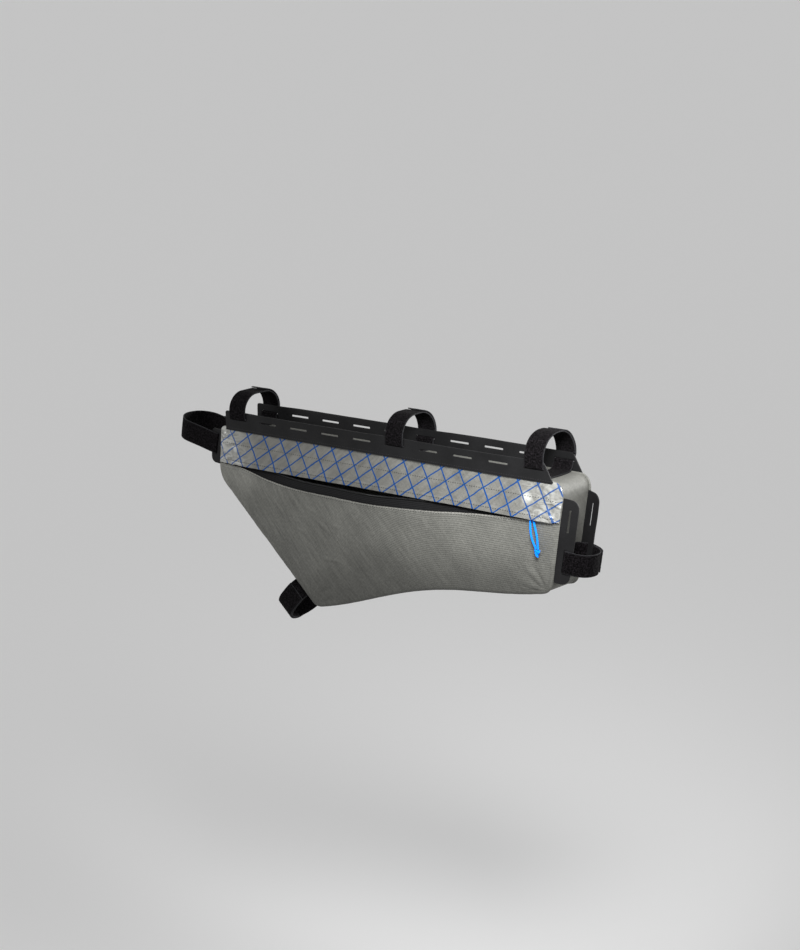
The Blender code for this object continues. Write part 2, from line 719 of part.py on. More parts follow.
def lapped_path(ring, start, tail):
    """A closed ring opened at its point nearest to start, run round once and on over its own beginning."""
    first = min(range(len(ring)), key=lambda i: (ring[i] - start).length)
    lap = ring[first:] + ring[:first] + [ring[first]]
    loop = lengths_along(lap)[-1]
    path = lap + lap[1:]
    lengths = lengths_along(path)
    kept = [p for p, s in zip(path, lengths) if s <= loop + tail]
    ramp = TAIL_START * 0.7
    lift = STRAP_THICKNESS + GAP
    path = []
    for i, point in enumerate(kept):
        before = kept[i - 1] if i else ring[first - 1]
        after = kept[i + 1] if i + 1 < len(kept) else kept[i] * 2 - kept[i - 1]
        along = (after - before).normalized()
        out = Vector((-along.y, along.x))
        path.append((point + out * lift * smooth_step((lengths[i] - loop + ramp) / ramp), out))
    return path


def add_strap(name, ring, start, tail, frame, material):
    """Band of webbing along a loop that crosses the bag's width.

    The loop lies in the plane of the frame's first direction and the bag's width,
    and the band's own width lies along the frame's second direction.
    """
    origin, reach, along = frame
    half_width = along * STRAP_WIDTH / 2
    half_thick = STRAP_THICKNESS / 2
    bm = bmesh.new()
    sections = []
    for point, out in lapped_path(ring, start, tail):
        section = []
        for thick, wide in ((-1, -1), (1, -1), (1, 1), (-1, 1)):
            p = point + out * half_thick * thick
            section.append(bm.verts.new(origin + reach * p.x + ACROSS * p.y + half_width * wide))
        sections.append(section)
    for low, high in zip(sections, sections[1:]):
        for i in range(4):
            k = (i + 1) % 4
            bm.faces.new((low[i], low[k], high[k], high[i]))
    bm.faces.new(sections[0])
    bm.faces.new(sections[-1])
    return add_object(name, bm, material)


def slotted_ring(reach, reach_radius, slot_y, toe_in, inner, inner_radius):
    """Loop that crosses a pair of flanges at its slots: (reach, y) points, the near side being -y.

    It goes from the far arch to the near one, through the near slot, across inside
    the flanges and out of the far slot. inner is the inner run's (reach, half span).
    """
    step = FLANGE_THICKNESS / 2 + GAP + STRAP_THICKNESS / 2
    normal = Vector((math.sin(toe_in), math.cos(toe_in)))
    outside = Vector((0, slot_y)) + normal * step
    inside = Vector((0, slot_y)) - normal * step
    arch = Vector((reach, outside.y - (reach - outside.x) * math.tan(toe_in)))
    half = [(arch, reach_radius), (outside, TURN_RADIUS), (inside, TURN_RADIUS), (Vector(inner), inner_radius)]
    near = [(Vector((p.x, -p.y)), r) for p, r in half]
    return rounded_polygon(near + half[::-1], longest=0.006)


def make_top_straps(materials):
    slot_y = top_flange_face() + FLANGE_THICKNESS / 2
    inner_y = top_flange_face() - GAP - STRAP_THICKNESS / 2
    for strap in TOP_STRAPS:
        inner = (-TOP_LOOP_SAG, inner_y)
        radius = strap["rise"] - (TOP_FLANGE_HEIGHT - SLOT_HEIGHT) - GAP
        ring = slotted_ring(strap["rise"], radius, slot_y, 0.0, inner, TOP_LOOP_SAG_RADIUS)
        frame = (Vector((slot_x(strap["slot"]), 0, SLOT_HEIGHT)), UP, REARWARD)
        start = Vector((TAIL_START, slot_y))
        add_strap(strap["name"], ring, start, TAIL_LENGTH, frame, materials["loop_webbing"])


def make_head_strap(materials):
    top_front, front = body_corners()[0], body_corners()[1]
    origin, down, across, _ = edge_frame(top_front, front, 0.0, NEAR)
    slot = origin + down * FRONT_SLOT_START + across * FRONT_SLOT_OFFSET
    slot.y = 0
    forward = Vector((-math.cos(HEAD_TUBE_LEAN), 0, math.sin(HEAD_TUBE_LEAN)))
    along = Vector((math.sin(HEAD_TUBE_LEAN), 0, math.cos(HEAD_TUBE_LEAN)))
    slot_y = HALF_WIDTH - GAP - FLANGE_THICKNESS / 2
    inner_y = slot_y - FLANGE_THICKNESS / 2 - GAP - STRAP_THICKNESS / 2
    inner = (-HEAD_LOOP_DEPTH, inner_y)
    ring = slotted_ring(HEAD_LOOP_REACH, HEAD_LOOP_RADIUS, slot_y, 0.0, inner, HEAD_LOOP_DEPTH_RADIUS)
    start = Vector((TAIL_START, slot_y))
    add_strap("head_tube_strap", ring, start, TAIL_LENGTH, (slot, forward, along), materials["loop_webbing"])


def make_seat_strap(materials):
    top_rear, rear = body_corners()[4], body_corners()[3]
    origin, down, across, through = edge_frame(top_rear, rear, REAR_FLANGE_TOE_IN, FAR)
    slot = origin + down * (REAR_SLOT_START + REAR_SLOT_SPACING)
    slot += across * REAR_SLOT_OFFSET + through * FLANGE_THICKNESS / 2
    slot_y = slot.y
    slot.y = 0
    rearward = Vector((down.z, 0, -down.x)) * -1
    clear = REAR_SLOT_OFFSET * math.cos(REAR_FLANGE_TOE_IN) - FLANGE_THICKNESS / 2 * math.sin(REAR_FLANGE_TOE_IN)
    inner = (GAP + STRAP_THICKNESS / 2 - clear, SEAT_LOOP_INNER_SPAN)
    ring = slotted_ring(
        SEAT_LOOP_REACH, SEAT_LOOP_RADIUS, slot_y, REAR_FLANGE_TOE_IN, inner, SEAT_LOOP_INNER_RADIUS
    )
    start = Vector((TAIL_START, slot_y))
    add_strap("seat_tube_strap", ring, start, TAIL_LENGTH / 2, (slot, rearward, -down), materials["loop_webbing"])


def diagonal_frame():
    """Frame on the diagonal gusset, where the down-tube strap crosses it: place, out of the bag, along it."""
    front, bottom = body_corners()[1:3]
    along = (bottom - front).normalized()
    place = bottom - along * DOWN_STRAP_FROM_CORNER
    out = Vector((along.y, -along.x))
    return Vector((place.x, 0, place.y)), Vector((out.x, 0, out.y)), Vector((along.x, 0, along.y))


def make_down_strap(materials):
    """The strap round the down tube, held to the bag by a keeper of webbing."""
    frame = diagonal_frame()
    bag_side = GAP + STRAP_THICKNESS / 2
    keeper_inner = bag_side + STRAP_THICKNESS / 2 + GAP
    reach = keeper_inner + KEEPER_THICKNESS + 2 * DOWN_TUBE_RADIUS + STRAP_THICKNESS / 2
    half = DOWN_TUBE_RADIUS + STRAP_THICKNESS / 2
    corners = [
        (Vector((reach, -half)), half * 0.98),
        (Vector((bag_side, -half)), DOWN_LOOP_BAG_RADIUS),
        (Vector((bag_side, half)), DOWN_LOOP_BAG_RADIUS),
        (Vector((reach, half)), half * 0.98),
    ]
    ring = rounded_polygon(corners, longest=0.006)
    tail = reach - half - DOWN_TAIL_STOP + half * math.pi / 2
    add_strap("down_tube_strap", ring, Vector((reach, 0)), tail, frame, materials["loop_webbing"])

    origin, out, along = frame
    half_span = STRAP_WIDTH / 2 + SLOT_CLEARANCE
    profile = [
        (-half_span - KEEPER_FOOT, GAP), (-half_span - KEEPER_THICKNESS, GAP + KEEPER_THICKNESS * 0.2),
        (-half_span, keeper_inner), (half_span, keeper_inner),
        (half_span + KEEPER_THICKNESS, GAP + KEEPER_THICKNESS * 0.2), (half_span + KEEPER_FOOT, GAP),
    ]
    rows = []
    for y in (-KEEPER_LENGTH / 2, KEEPER_LENGTH / 2):
        rows.append([origin + along * a + out * b + ACROSS * y for a, b in profile])
    outer = [[p + out * KEEPER_THICKNESS for p in row] for row in rows]
    add_shell("down_tube_keeper", rows, outer, materials["rubber_sheet"])


def main():
    clear_scene()
    materials = make_materials()
    make_gusset(materials)
    near, flap = make_panels(materials)
    make_zip(materials, near, flap)
    make_slider(materials)
    make_pull_cord(materials)
    make_top_flanges(materials)
    make_front_flanges(materials)
    make_rear_flanges(materials)
    make_top_straps(materials)
    make_head_strap(materials)
    make_seat_strap(materials)
    make_down_strap(materials)


main()
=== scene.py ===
"""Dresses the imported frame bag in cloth, laminate, rubber sheet, webbing, zip and cord."""

import math

import bpy
import numpy as np
from mathutils import Matrix, Vector


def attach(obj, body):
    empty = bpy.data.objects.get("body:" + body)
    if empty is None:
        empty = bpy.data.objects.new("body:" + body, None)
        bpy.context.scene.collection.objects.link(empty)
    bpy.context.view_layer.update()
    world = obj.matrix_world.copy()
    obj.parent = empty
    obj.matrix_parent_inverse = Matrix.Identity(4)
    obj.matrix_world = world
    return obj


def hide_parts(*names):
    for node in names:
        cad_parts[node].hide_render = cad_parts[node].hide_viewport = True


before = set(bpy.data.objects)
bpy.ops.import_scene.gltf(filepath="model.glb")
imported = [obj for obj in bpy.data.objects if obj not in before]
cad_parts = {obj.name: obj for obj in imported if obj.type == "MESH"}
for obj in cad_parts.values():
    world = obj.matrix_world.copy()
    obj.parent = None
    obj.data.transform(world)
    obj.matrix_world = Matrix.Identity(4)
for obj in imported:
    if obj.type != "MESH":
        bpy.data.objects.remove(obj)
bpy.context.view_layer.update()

bl_info = {
    "name": "Bicycle frame bag",
    "version": (1, 0, 0),
    "blender": (4, 5, 0),
    "location": "View3D > Sidebar > Frame Bag",
    "description": "Builds the cloth, zip, straps and cord of a bag that hangs in a bicycle's frame",
    "category": "Add Mesh",
}

GAP = 0.0003
NEAR = -1
FAR = 1
SIDES = (("near", NEAR), ("far", FAR))
REARWARD = np.array((1.0, 0.0, 0.0))
ACROSS = np.array((0.0, 1.0, 0.0))
UP = np.array((0.0, 0.0, 1.0))

FRONT_LEAN = math.radians(4.7)
DOWN_TUBE_SLOPE = math.radians(42.4)
SEAT_TUBE_LEAN = math.radians(8.8)
HEAD_TUBE_LEAN = math.radians(11.0)
BOTTOM_BOW = 0.0115
TOP_FRONT_RADIUS = 0.004
FRONT_RADIUS = 0.020
BOTTOM_RADIUS = 0.013
REAR_RADIUS = 0.010
TOP_REAR_RADIUS = 0.012
NEAR_BELLY = 0.0075
FAR_BELLY = 0.0070
WALL = 0.0014
FLAP_WALL = 0.00119
GUSSET_WALL = 0.0011
SEAM_OVERHANG = 0.0015
SEAM_RADIUS = 0.00095
FLAP_CLEARANCE = 0.0015
FLAP_BELLY = 0.0046
LIP_SAG = 0.0120
LIP_BULGE = 0.0130
# Height of the panel below the lip, for the tape's tuck and the stitches
LIP_CLOTH = 0.10

TAPE_HEIGHT = 0.0085
TAPE_TUCK = 0.0040
UPPER_TAPE_HEIGHT = 0.0065
TAPE_THICKNESS = 0.0008
TAPE_INSET = 0.0016
ZIP_END_INSET = 0.0065
COIL_DIAMETER = 0.0022
COIL_CLEARANCE = 0.0008
COIL_PITCH = 0.00135
COIL_WIRE_RADIUS = 0.00034
SLIDER_FROM_REAR = 0.0390
SLIDER_PLATE = (0.0095, 0.0012, 0.0090)
SLIDER_RIM = 0.0014
BRIDGE_RADIUS = 0.00075

SHEET = 0.0014
SLOT_COUNT = 10
SLOT_PITCH = 0.0465
SLOT_ROW_CENTRE = -0.0036
SLOT_HEIGHT = 0.0122
SLOT_PLAY_LONG = 0.0004
SLOT_PLAY_SHORT = 0.0003
SLOT_CORNER = 0.0006
TOP_FLANGE_HEIGHT = 0.0208
TOP_FLANGE_TUCK = 0.0014
TOP_FLANGE_FROM_FRONT = 0.0080
TOP_FLANGE_FROM_REAR = 0.0110
TOP_FLANGE_SLANT = 0.0130
# Places on the end sheets, as (down the bag's edge, out of it)
REAR_SHEET_START = 0.0150
REAR_SHEET_FROM_CORNER = 0.0105
REAR_SHEET_REACH = 0.0195
REAR_SHEET_SLOTS = ((0.0385, 0.0105), (0.0820, 0.0105))
REAR_TOE_IN = math.radians(16.0)
FRONT_SHEET_START = 0.0045
FRONT_SHEET_FROM_CORNER = 0.0125
FRONT_SHEET_REACH = 0.0170
FRONT_SHEET_SLOT = (0.0215, 0.0085)

WEBBING = 0.0016
TURN_RADIUS = 0.0013
STRAP_START = 0.008
STRAP_LAP = 0.032
# Slot of each top loop, its reach above the slot and the seed of its pile
TOP_STRAPS = (
    {"node": "top_strap_front", "slot": 0, "reach": 0.0292, "seed": 3},
    {"node": "top_strap_middle", "slot": 5, "reach": 0.0322, "seed": 5},
    {"node": "top_strap_rear", "slot": 9, "reach": 0.0352, "seed": 8},
)
TOP_LOOP_INNER_DROP = 0.0108
TOP_LOOP_INNER_RADIUS = 0.0090
HEAD_LOOP_REACH = 0.0704
HEAD_LOOP_RADIUS = 0.0240
HEAD_LOOP_INNER_DROP = 0.0052
HEAD_LOOP_INNER_RADIUS = 0.0035
SEAT_LOOP_REACH = 0.0262
SEAT_LOOP_RADIUS = 0.0175
SEAT_LOOP_INNER_Y = 0.0130
SEAT_LOOP_INNER_RADIUS = 0.0100
SEAT_STRAP_LAP = 0.016
DOWN_TUBE_RADIUS = 0.0243
DOWN_STRAP_FROM_CORNER = 0.0290
DOWN_LOOP_INNER_RADIUS = 0.0140
KEEPER_WIDTH = 0.0200
KEEPER_WALL = 0.0010
KEEPER_FOOT = 0.0070

STITCH_PITCH = 0.0032
FLANGE_STITCH_PITCH = 0.0031
STITCH_LENGTH = 0.0021
STITCH_FROM_FLAP_SEAM = 0.0185
STITCH_FROM_FLAP_EDGE = 0.0045
STITCH_FROM_LIP = 0.0019
# Lip of the lower panel by share of the length
LIP_AT = (0.000, 0.065, 0.168, 0.273, 0.372, 0.511, 0.584, 0.680, 0.743, 0.902, 1.000)
LIP_SAGS = (0.00, 0.14, 0.82, 1.00, 0.98, 1.00, 0.88, 0.70, 0.48, 0.10, 0.00)
LIP_BULGES = (0.00, 0.00, 0.25, 0.75, 0.97, 1.00, 0.85, 0.45, 0.20, 0.00, 0.00)
TAPE_BULGES = (0.00, 0.00, 0.16, 0.75, 1.00, 1.00, 0.72, 0.08, 0.00, 0.00, 0.00)
TAPE_HEIGHTS = (1.00, 1.00, 1.00, 1.00, 1.00, 1.00, 1.00, 0.80, 0.90, 1.00, 1.00)
FLAP_AT = (0.000, 0.060, 0.200, 0.500, 0.800, 0.900, 0.950, 1.000)
FLAP_BULGES = (0.00, 0.45, 0.70, 0.60, 0.80, 1.00, 0.95, 0.00)
# Short creases on the near side: the two ends as (x, z) and the height
SHORT_CREASES = (
    (-0.0871, -0.0818, -0.0690, -0.0965, 0.0013),
    (-0.0799, -0.1257, -0.0544, -0.1292, 0.0009),
    (-0.1578, -0.0680, -0.1380, -0.0895, 0.0011),
    (-0.1163, -0.0962, -0.1065, -0.1057, 0.0008),
    (-0.0616, -0.0850, -0.0519, -0.0895, 0.0008),
    (-0.0967, -0.0712, -0.0870, -0.0785, 0.0008),
)
# Painted highlights on the flap: place, stretch, reach and strength
PAINTED_GLINTS = (
    ((0.1970, -0.0195), (1.0, 1.0), 0.0100, 0.85),
    ((-0.2191, -0.0229), (1.0, 0.8), 0.0065, 0.60),
    ((-0.2264, -0.0077), (1.4, 0.7), 0.0060, 0.55),
    ((-0.2150, -0.0385), (0.3, 1.6), 0.0050, 0.55),
)
# Strands of the pull cord: rearward of the slider, outward of the body's side, up
CORD_ROUTE = (
    (-0.0016, 0.0024, -0.0365),
    (-0.0018, 0.0028, -0.0390),
    (-0.0020, 0.0032, -0.0422),
    (-0.0026, 0.0041, -0.0465),
    (-0.0033, 0.0053, -0.0520),
    (-0.0036, 0.0065, -0.0580),
    (-0.0030, 0.0075, -0.0635),
    (-0.0019, 0.0081, -0.0680),
    (-0.0015, 0.0083, -0.0710),
)
CORD_LEAN = 0.0115
KNOT_DROP = 0.0028
KNOT_CORD_RADIUS = 0.00115
# Lean and drop of the knot's tails
KNOT_TAILS = ((-0.0004, 0.0036), (0.0016, 0.0046))
TAIL_RADIUS = 0.00098

# Colours of wear, painted highlights, edges and the black thread
SCUFFED_CLOTH = (0.42, 0.42, 0.39)
# Painted highlight on the lip's folded edge
PAINTED_LIP_HIGHLIGHT = (0.30, 0.295, 0.27)
# Crazing on the flap's ends, and the painted highlights there
CRAZING_AND_PAINTED_HIGHLIGHT = (0.66, 0.67, 0.64)
LINT = (0.040, 0.037, 0.039)
WOVEN_EDGE = (0.024, 0.024, 0.026)
BLACK_THREAD = (0.012, 0.012, 0.013)
# Share of the sky's strength that the camera sees, which is the far floor's brightness
HORIZON = 0.887
# Lights: name, place, target, size and spread in degrees
LIGHTS = (
    ("key", (0.50, -0.40, 0.38), (0.170, 0.0, 0.010), 0.26, 42.0),
    ("fill", (-0.55, -0.48, 0.42), (-0.200, 0.0, 0.0), 0.30, 46.0),
    ("back", (0.7, 2.3, 0.45), (0.0, 0.0, -0.05), 0.8, 36.0),
)
FLOOR_LEVEL = -0.80
FLOOR_SIZE = 800.0
# Camera at the photo's place: its backward and upward directions, and its focal length
CAMERA_PLACE = (1.5016, -1.7829, 0.5183)
CAMERA_BACK = (0.6261, -0.7454, 0.2287)
CAMERA_UP = (-0.1354, 0.1849, 0.9734)
CAMERA_LENS = 98.6
CAMERA_SHIFT = 0.00125


def length_property(name, description, default):
    return bpy.props.FloatProperty(
        name=name, description=description, default=default, unit="LENGTH", precision=4
    )


def power_property(name, description, default):
    return bpy.props.FloatProperty(name=name, description=description, default=default, unit="POWER")


def colour_property(name, description, default):
    return bpy.props.FloatVectorProperty(
        name=name, description=description, default=default, subtype="COLOR", size=3, min=0.0, max=1.0
    )


class BagSizes(bpy.types.PropertyGroup):
    """Sizes of the bag, as cut and sewn."""

    top_length: length_property("Top length", "Length along the top tube", 0.4812)
    front_height: length_property("Front height", "Height of the front edge", 0.0573)
    depth: length_property("Depth", "Depth at the lowest corner", 0.1885)
    rear_height: length_property("Rear height", "Height of the rear edge", 0.116)
    width: length_property("Width", "Width between the side seams", 0.0476)
    flap_drop: length_property("Flap drop", "How far the flap hangs below the top seam", 0.0415)
    strap_width: length_property("Strap width", "Width of the webbing", 0.0245)
    cord_width: length_property("Cord width", "Diameter of the pull cord", 0.0022)


class BagColours(bpy.types.PropertyGroup):
    """Colours of the bag's cloths and trims."""

    body: colour_property("Body", "Woven nylon of the body", (0.122, 0.122, 0.111))
    laminate: colour_property("Laminate", "Ground of the flap's laminate", (0.163, 0.162, 0.150))
    lines: colour_property("Grid lines", "Threads of the diamond grid", (0.0, 0.048, 0.192))
    rubber: colour_property("Rubber sheet", "Slotted flanges", (0.0085, 0.0085, 0.0090))
    webbing: colour_property("Webbing", "Hook-and-loop straps", (0.0030, 0.0026, 0.0030))
    tape: colour_property("Zip tape", "Tape of the zip", (0.0060, 0.0060, 0.0064))
    coil: colour_property("Zip coil", "Nylon coil of the zip", (0.0060, 0.0060, 0.0065))
    cord: colour_property("Pull cord", "Cord on the zip's slider", (0.0, 0.215, 0.90))
    thread: colour_property("Thread", "Sewing thread on grey cloth", (0.013, 0.014, 0.012))


class StageLook(bpy.types.PropertyGroup):
    """Floor and lights around the bag."""

    floor: colour_property("Floor", "Colour of the floor and backdrop", (0.88, 0.88, 0.88))
    key: power_property("Key light", "Power of the main light", 0.78)
    fill: power_property("Fill light", "Power of the fill light", 0.16)
    back: power_property("Back light", "Power of the light behind", 4.2)
    sky: bpy.props.FloatProperty(name="Sky", description="Strength of the light all round", default=0.62)


def sizes():
    return bpy.context.scene.framebag_sizes


def colours():
    return bpy.context.scene.framebag_colours


def half_width():
    return sizes().width / 2


# Lines and outlines


def unit(v):
    """A direction, or each row of directions, made 1 long."""
    return v / np.linalg.norm(v, axis=-1, keepdims=True)


def smooth_step(t):
    t = np.clip(t, 0.0, 1.0)
    return t * t * (3 - 2 * t)


def hump(value, centre, reach):
    """1 at the centre, falling off softly to both sides."""
    return np.exp(-(((value - centre) / reach) ** 2))


def ramp(value, reach):
    """From 0 at nothing to 1 at the reach and beyond."""
    return np.clip(value / reach, 0, 1)


def smooth_table(at, values, share):
    """Smooth curve through a table's values, by share."""
    at = np.array(at)
    values = np.array(values)
    slopes = np.gradient(values, at)
    i = np.clip(np.searchsorted(at, share) - 1, 0, len(at) - 2)
    step = at[i + 1] - at[i]
    t = (share - at[i]) / step
    low = (2 * t**3 - 3 * t**2 + 1) * values[i] + (t**3 - 2 * t**2 + t) * step * slopes[i]
    return low + (3 * t**2 - 2 * t**3) * values[i + 1] + (t**3 - t**2) * step * slopes[i + 1]


def rounded_corner(before, corner, after, radius, steps):
    into, out = unit(before - corner), unit(after - corner)
    half = math.acos(np.clip(into @ out, -1.0, 1.0)) / 2
    centre = corner + unit(into + out) * (radius / math.sin(half))
    start = corner + into * (radius / math.tan(half)) - centre
    turn = math.pi - 2 * half
    if into[0] * out[1] - into[1] * out[0] > 0:
        turn = -turn
    angles = np.linspace(0.0, turn, steps + 1)
    x = start[0] * np.cos(angles) - start[1] * np.sin(angles)
    y = start[0] * np.sin(angles) + start[1] * np.cos(angles)
    return centre + np.stack((x, y), axis=1)


def rounded_polygon(corners, longest):
    """Closed outline through (point, radius) corners, with no run between points over longest."""
    points = [np.array(p, float) for p, _ in corners]
    arcs = []
    for i, (_, radius) in enumerate(corners):
        if radius:
            after = points[(i + 1) % len(points)]
            steps = max(4, math.ceil(radius * 1.6 / longest))
            arcs.append(rounded_corner(points[i - 1], points[i], after, radius, steps))
        else:
            arcs.append(points[i][None, :])
    ring = []
    for arc, following in zip(arcs, arcs[1:] + arcs[:1]):
        run = following[0] - arc[-1]
        pieces = max(1, math.ceil(np.linalg.norm(run) / longest))
        shares = np.arange(1, pieces)[:, None] / pieces
        ring += [arc, arc[-1] + run * shares]
    return np.concatenate(ring)


def body_corners():
    """Corners of the side outline, as (x, z): top front, front, bottom, rear and top rear."""
    s = sizes()
    top_front = np.array((-s.top_length / 2, 0.0))
    front = top_front + s.front_height * np.array((-math.tan(FRONT_LEAN), -1.0))
    drop = s.depth - s.front_height
    bottom = front + np.array((drop / math.tan(DOWN_TUBE_SLOPE), -drop))
    top_rear = np.array((s.top_length / 2, 0.0))
    rear = top_rear + s.rear_height * np.array((-math.tan(SEAT_TUBE_LEAN), -1.0))
    return top_front, front, bottom, rear, top_rear


def run_between(start, end, pieces, bow=0.0):
    left = unit(np.array((start[1] - end[1], end[0] - start[0])))
    shares = np.arange(1, pieces)[:, None] / pieces
    return start + (end - start) * shares + left * bow * np.sin(math.pi * shares) ** 2


def bag_outline(offset=0.0):
    """Side outline moved out by offset: the chain from the top front round to the top rear, and the top."""
    top_front, front, bottom, rear, top_rear = body_corners()
    arc_front = rounded_corner(top_front, front, bottom, FRONT_RADIUS, 10)
    arc_bottom = rounded_corner(front, bottom, rear, BOTTOM_RADIUS, 16)
    arc_rear = rounded_corner(bottom, rear, top_rear, REAR_RADIUS, 12)
    arc_top_rear = rounded_corner(rear, top_rear, top_front, TOP_REAR_RADIUS, 14)
    arc_top_front = rounded_corner(top_rear, top_front, front, TOP_FRONT_RADIUS, 6)
    lower = np.concatenate((
        run_between(arc_top_front[-1], arc_front[0], 16), arc_front,
        run_between(arc_front[-1], arc_bottom[0], 50), arc_bottom,
        run_between(arc_bottom[-1], arc_rear[0], 90, BOTTOM_BOW), arc_rear,
        run_between(arc_rear[-1], arc_top_rear[0], 30),
    ))
    top = run_between(arc_top_rear[-1], arc_top_front[0], 120)
    upper = np.concatenate((arc_top_rear, top, arc_top_front))
    ring = np.concatenate((lower, upper))
    along = unit(np.roll(ring, -1, axis=0) - np.roll(ring, 1, axis=0))
    ring = ring + np.stack((along[:, 1], -along[:, 0]), axis=1) * offset
    split = len(lower)
    return np.concatenate((ring[-1:], ring[:split + 1])), ring[split:]


def closed_outline(offset):
    """Side outline as one chain that ends where it starts, and its length."""
    lower, upper = bag_outline(offset)
    closed = np.concatenate((lower[1:], upper[1:], lower[1:2]))
    return closed, lengths_along(closed)[-1]


def crossing(chain, z):
    """Index and place at which a chain, read from its start, first goes past the height z."""
    for i in range(len(chain) - 1):
        if chain[i + 1, 1] <= z < chain[i, 1]:
            share = (z - chain[i, 1]) / (chain[i + 1, 1] - chain[i, 1])
            return i, chain[i] + (chain[i + 1] - chain[i]) * share
    raise ValueError("the outline doesn't reach that height")


def level_line(lower, z, share):
    """Points at these shares of the level line across the side at the height z."""
    front, rear = crossing(lower, z)[1], crossing(lower[::-1], z)[1]
    return front + (rear - front) * share[..., None]


def part_below(chain, z_front, z_rear):
    first, start = crossing(chain, z_front)
    last, end = crossing(chain[::-1], z_rear)
    return np.concatenate((start[None, :], chain[first + 1:len(chain) - 1 - last], end[None, :]))


def lengths_along(points):
    return np.concatenate(([0.0], np.cumsum(np.linalg.norm(np.diff(points, axis=0), axis=1))))


def resample(at, known, rows):
    """Rows that are given at known places, read at other places between them."""
    return np.stack([np.interp(at, known, rows[:, k]) for k in range(rows.shape[1])], axis=-1)


def along_chain(chain, share):
    """Points at these shares of a chain's length."""
    lengths = lengths_along(chain)
    return resample(share * lengths[-1], lengths, chain)


def value_noise(x, y, seed):
    """Smooth noise from -1 to 1, with one bump for each unit."""
    column, row = np.floor(x).astype(np.int64), np.floor(y).astype(np.int64)
    u, v = smooth_step(x - column), smooth_step(y - row)

    def corner(i, j):
        h = (i * 374761393 + j * 668265263 + seed * 974634777) & 0xFFFFFFFF
        h = ((h ^ (h >> 13)) * 1274126177) & 0xFFFFFFFF
        return ((h ^ (h >> 16)) & 0xFFFF) / 32767.5 - 1.0

    low = corner(column, row) * (1 - u) + corner(column + 1, row) * u
    high = corner(column, row + 1) * (1 - u) + corner(column + 1, row + 1) * u
    return low * (1 - v) + high * v


def line_noise(t, seed):
    """Smooth noise along a line, from -1 to 1."""
    return value_noise(t, t * 0, seed)


def layered_noise(x, y, seed, layers=3):
    total = np.zeros_like(x)
    for layer in range(layers):
        total += value_noise(x * 2**layer, y * 2**layer, seed + layer) / 2**layer
    return total / 1.6


def crests(x, y, seed):
    """Sharp crests with soft hollows between them, from 0 to 1, as in crumpled film."""
    return (1 - np.abs(value_noise(x, y, seed))) ** 3


def short_creases(x, z):
    """Low ridges where the full cloth has buckled."""
    total = np.zeros_like(x)
    for start_x, start_z, end_x, end_z, height in SHORT_CREASES:
        length = math.hypot(end_x - start_x, end_z - start_z)
        ux, uz = (end_x - start_x) / length, (end_z - start_z) / length
        from_x, from_z = x - (start_x + end_x) / 2, z - (start_z + end_z) / 2
        along = from_x * ux + from_z * uz
        across = from_z * ux - from_x * uz - 0.0015 * np.sin(along / length * 3.0)
        total += height * hump(across, 0, 0.0019) * hump(along, 0, 0.55 * length)
    return total


def gathers(x, z, low, corner, shift, ring, folds):
    """Creases that fan out of a corner, strongest on a ring round it; folds gives their phase."""
    away = np.hypot(x - corner[0] - shift, z - corner[1] + shift)
    turn = np.arctan2(z - corner[1], x - corner[0])
    return hump(away, *ring) * ramp(low, 0.006) * np.sin(folds(turn, away))


# Cloth surfaces, each a function of the share of the length and the share of the height


def belly(share, height):
    return (np.clip(np.sin(math.pi * share), 0, 1) * np.clip(np.sin(math.pi * height), 0, 1)) ** 0.7


def lip_line(share):
    """Upper edge of the lower panel, as (x, z)."""
    line = level_line(bag_outline(SEAM_OVERHANG)[0], -(sizes().flap_drop + FLAP_CLEARANCE), share)
    line[..., 1] -= LIP_SAG * smooth_table(LIP_AT, LIP_SAGS, share)
    return line


def seam_roll(distance):
    """How far a panel's edge turns in over the gusset, by its distance from the seam."""
    return 0.0011 * (1 - smooth_step(distance / 0.0026))


def pucker(travel, distance, seed):
    """Small scallops that sewing draws up beside a seam."""
    wave = line_noise(travel / 0.0065, seed) + 0.6 * line_noise(travel / 0.0028, seed + 7)
    return 0.00038 * wave * hump(distance, 0.004, 0.0055)


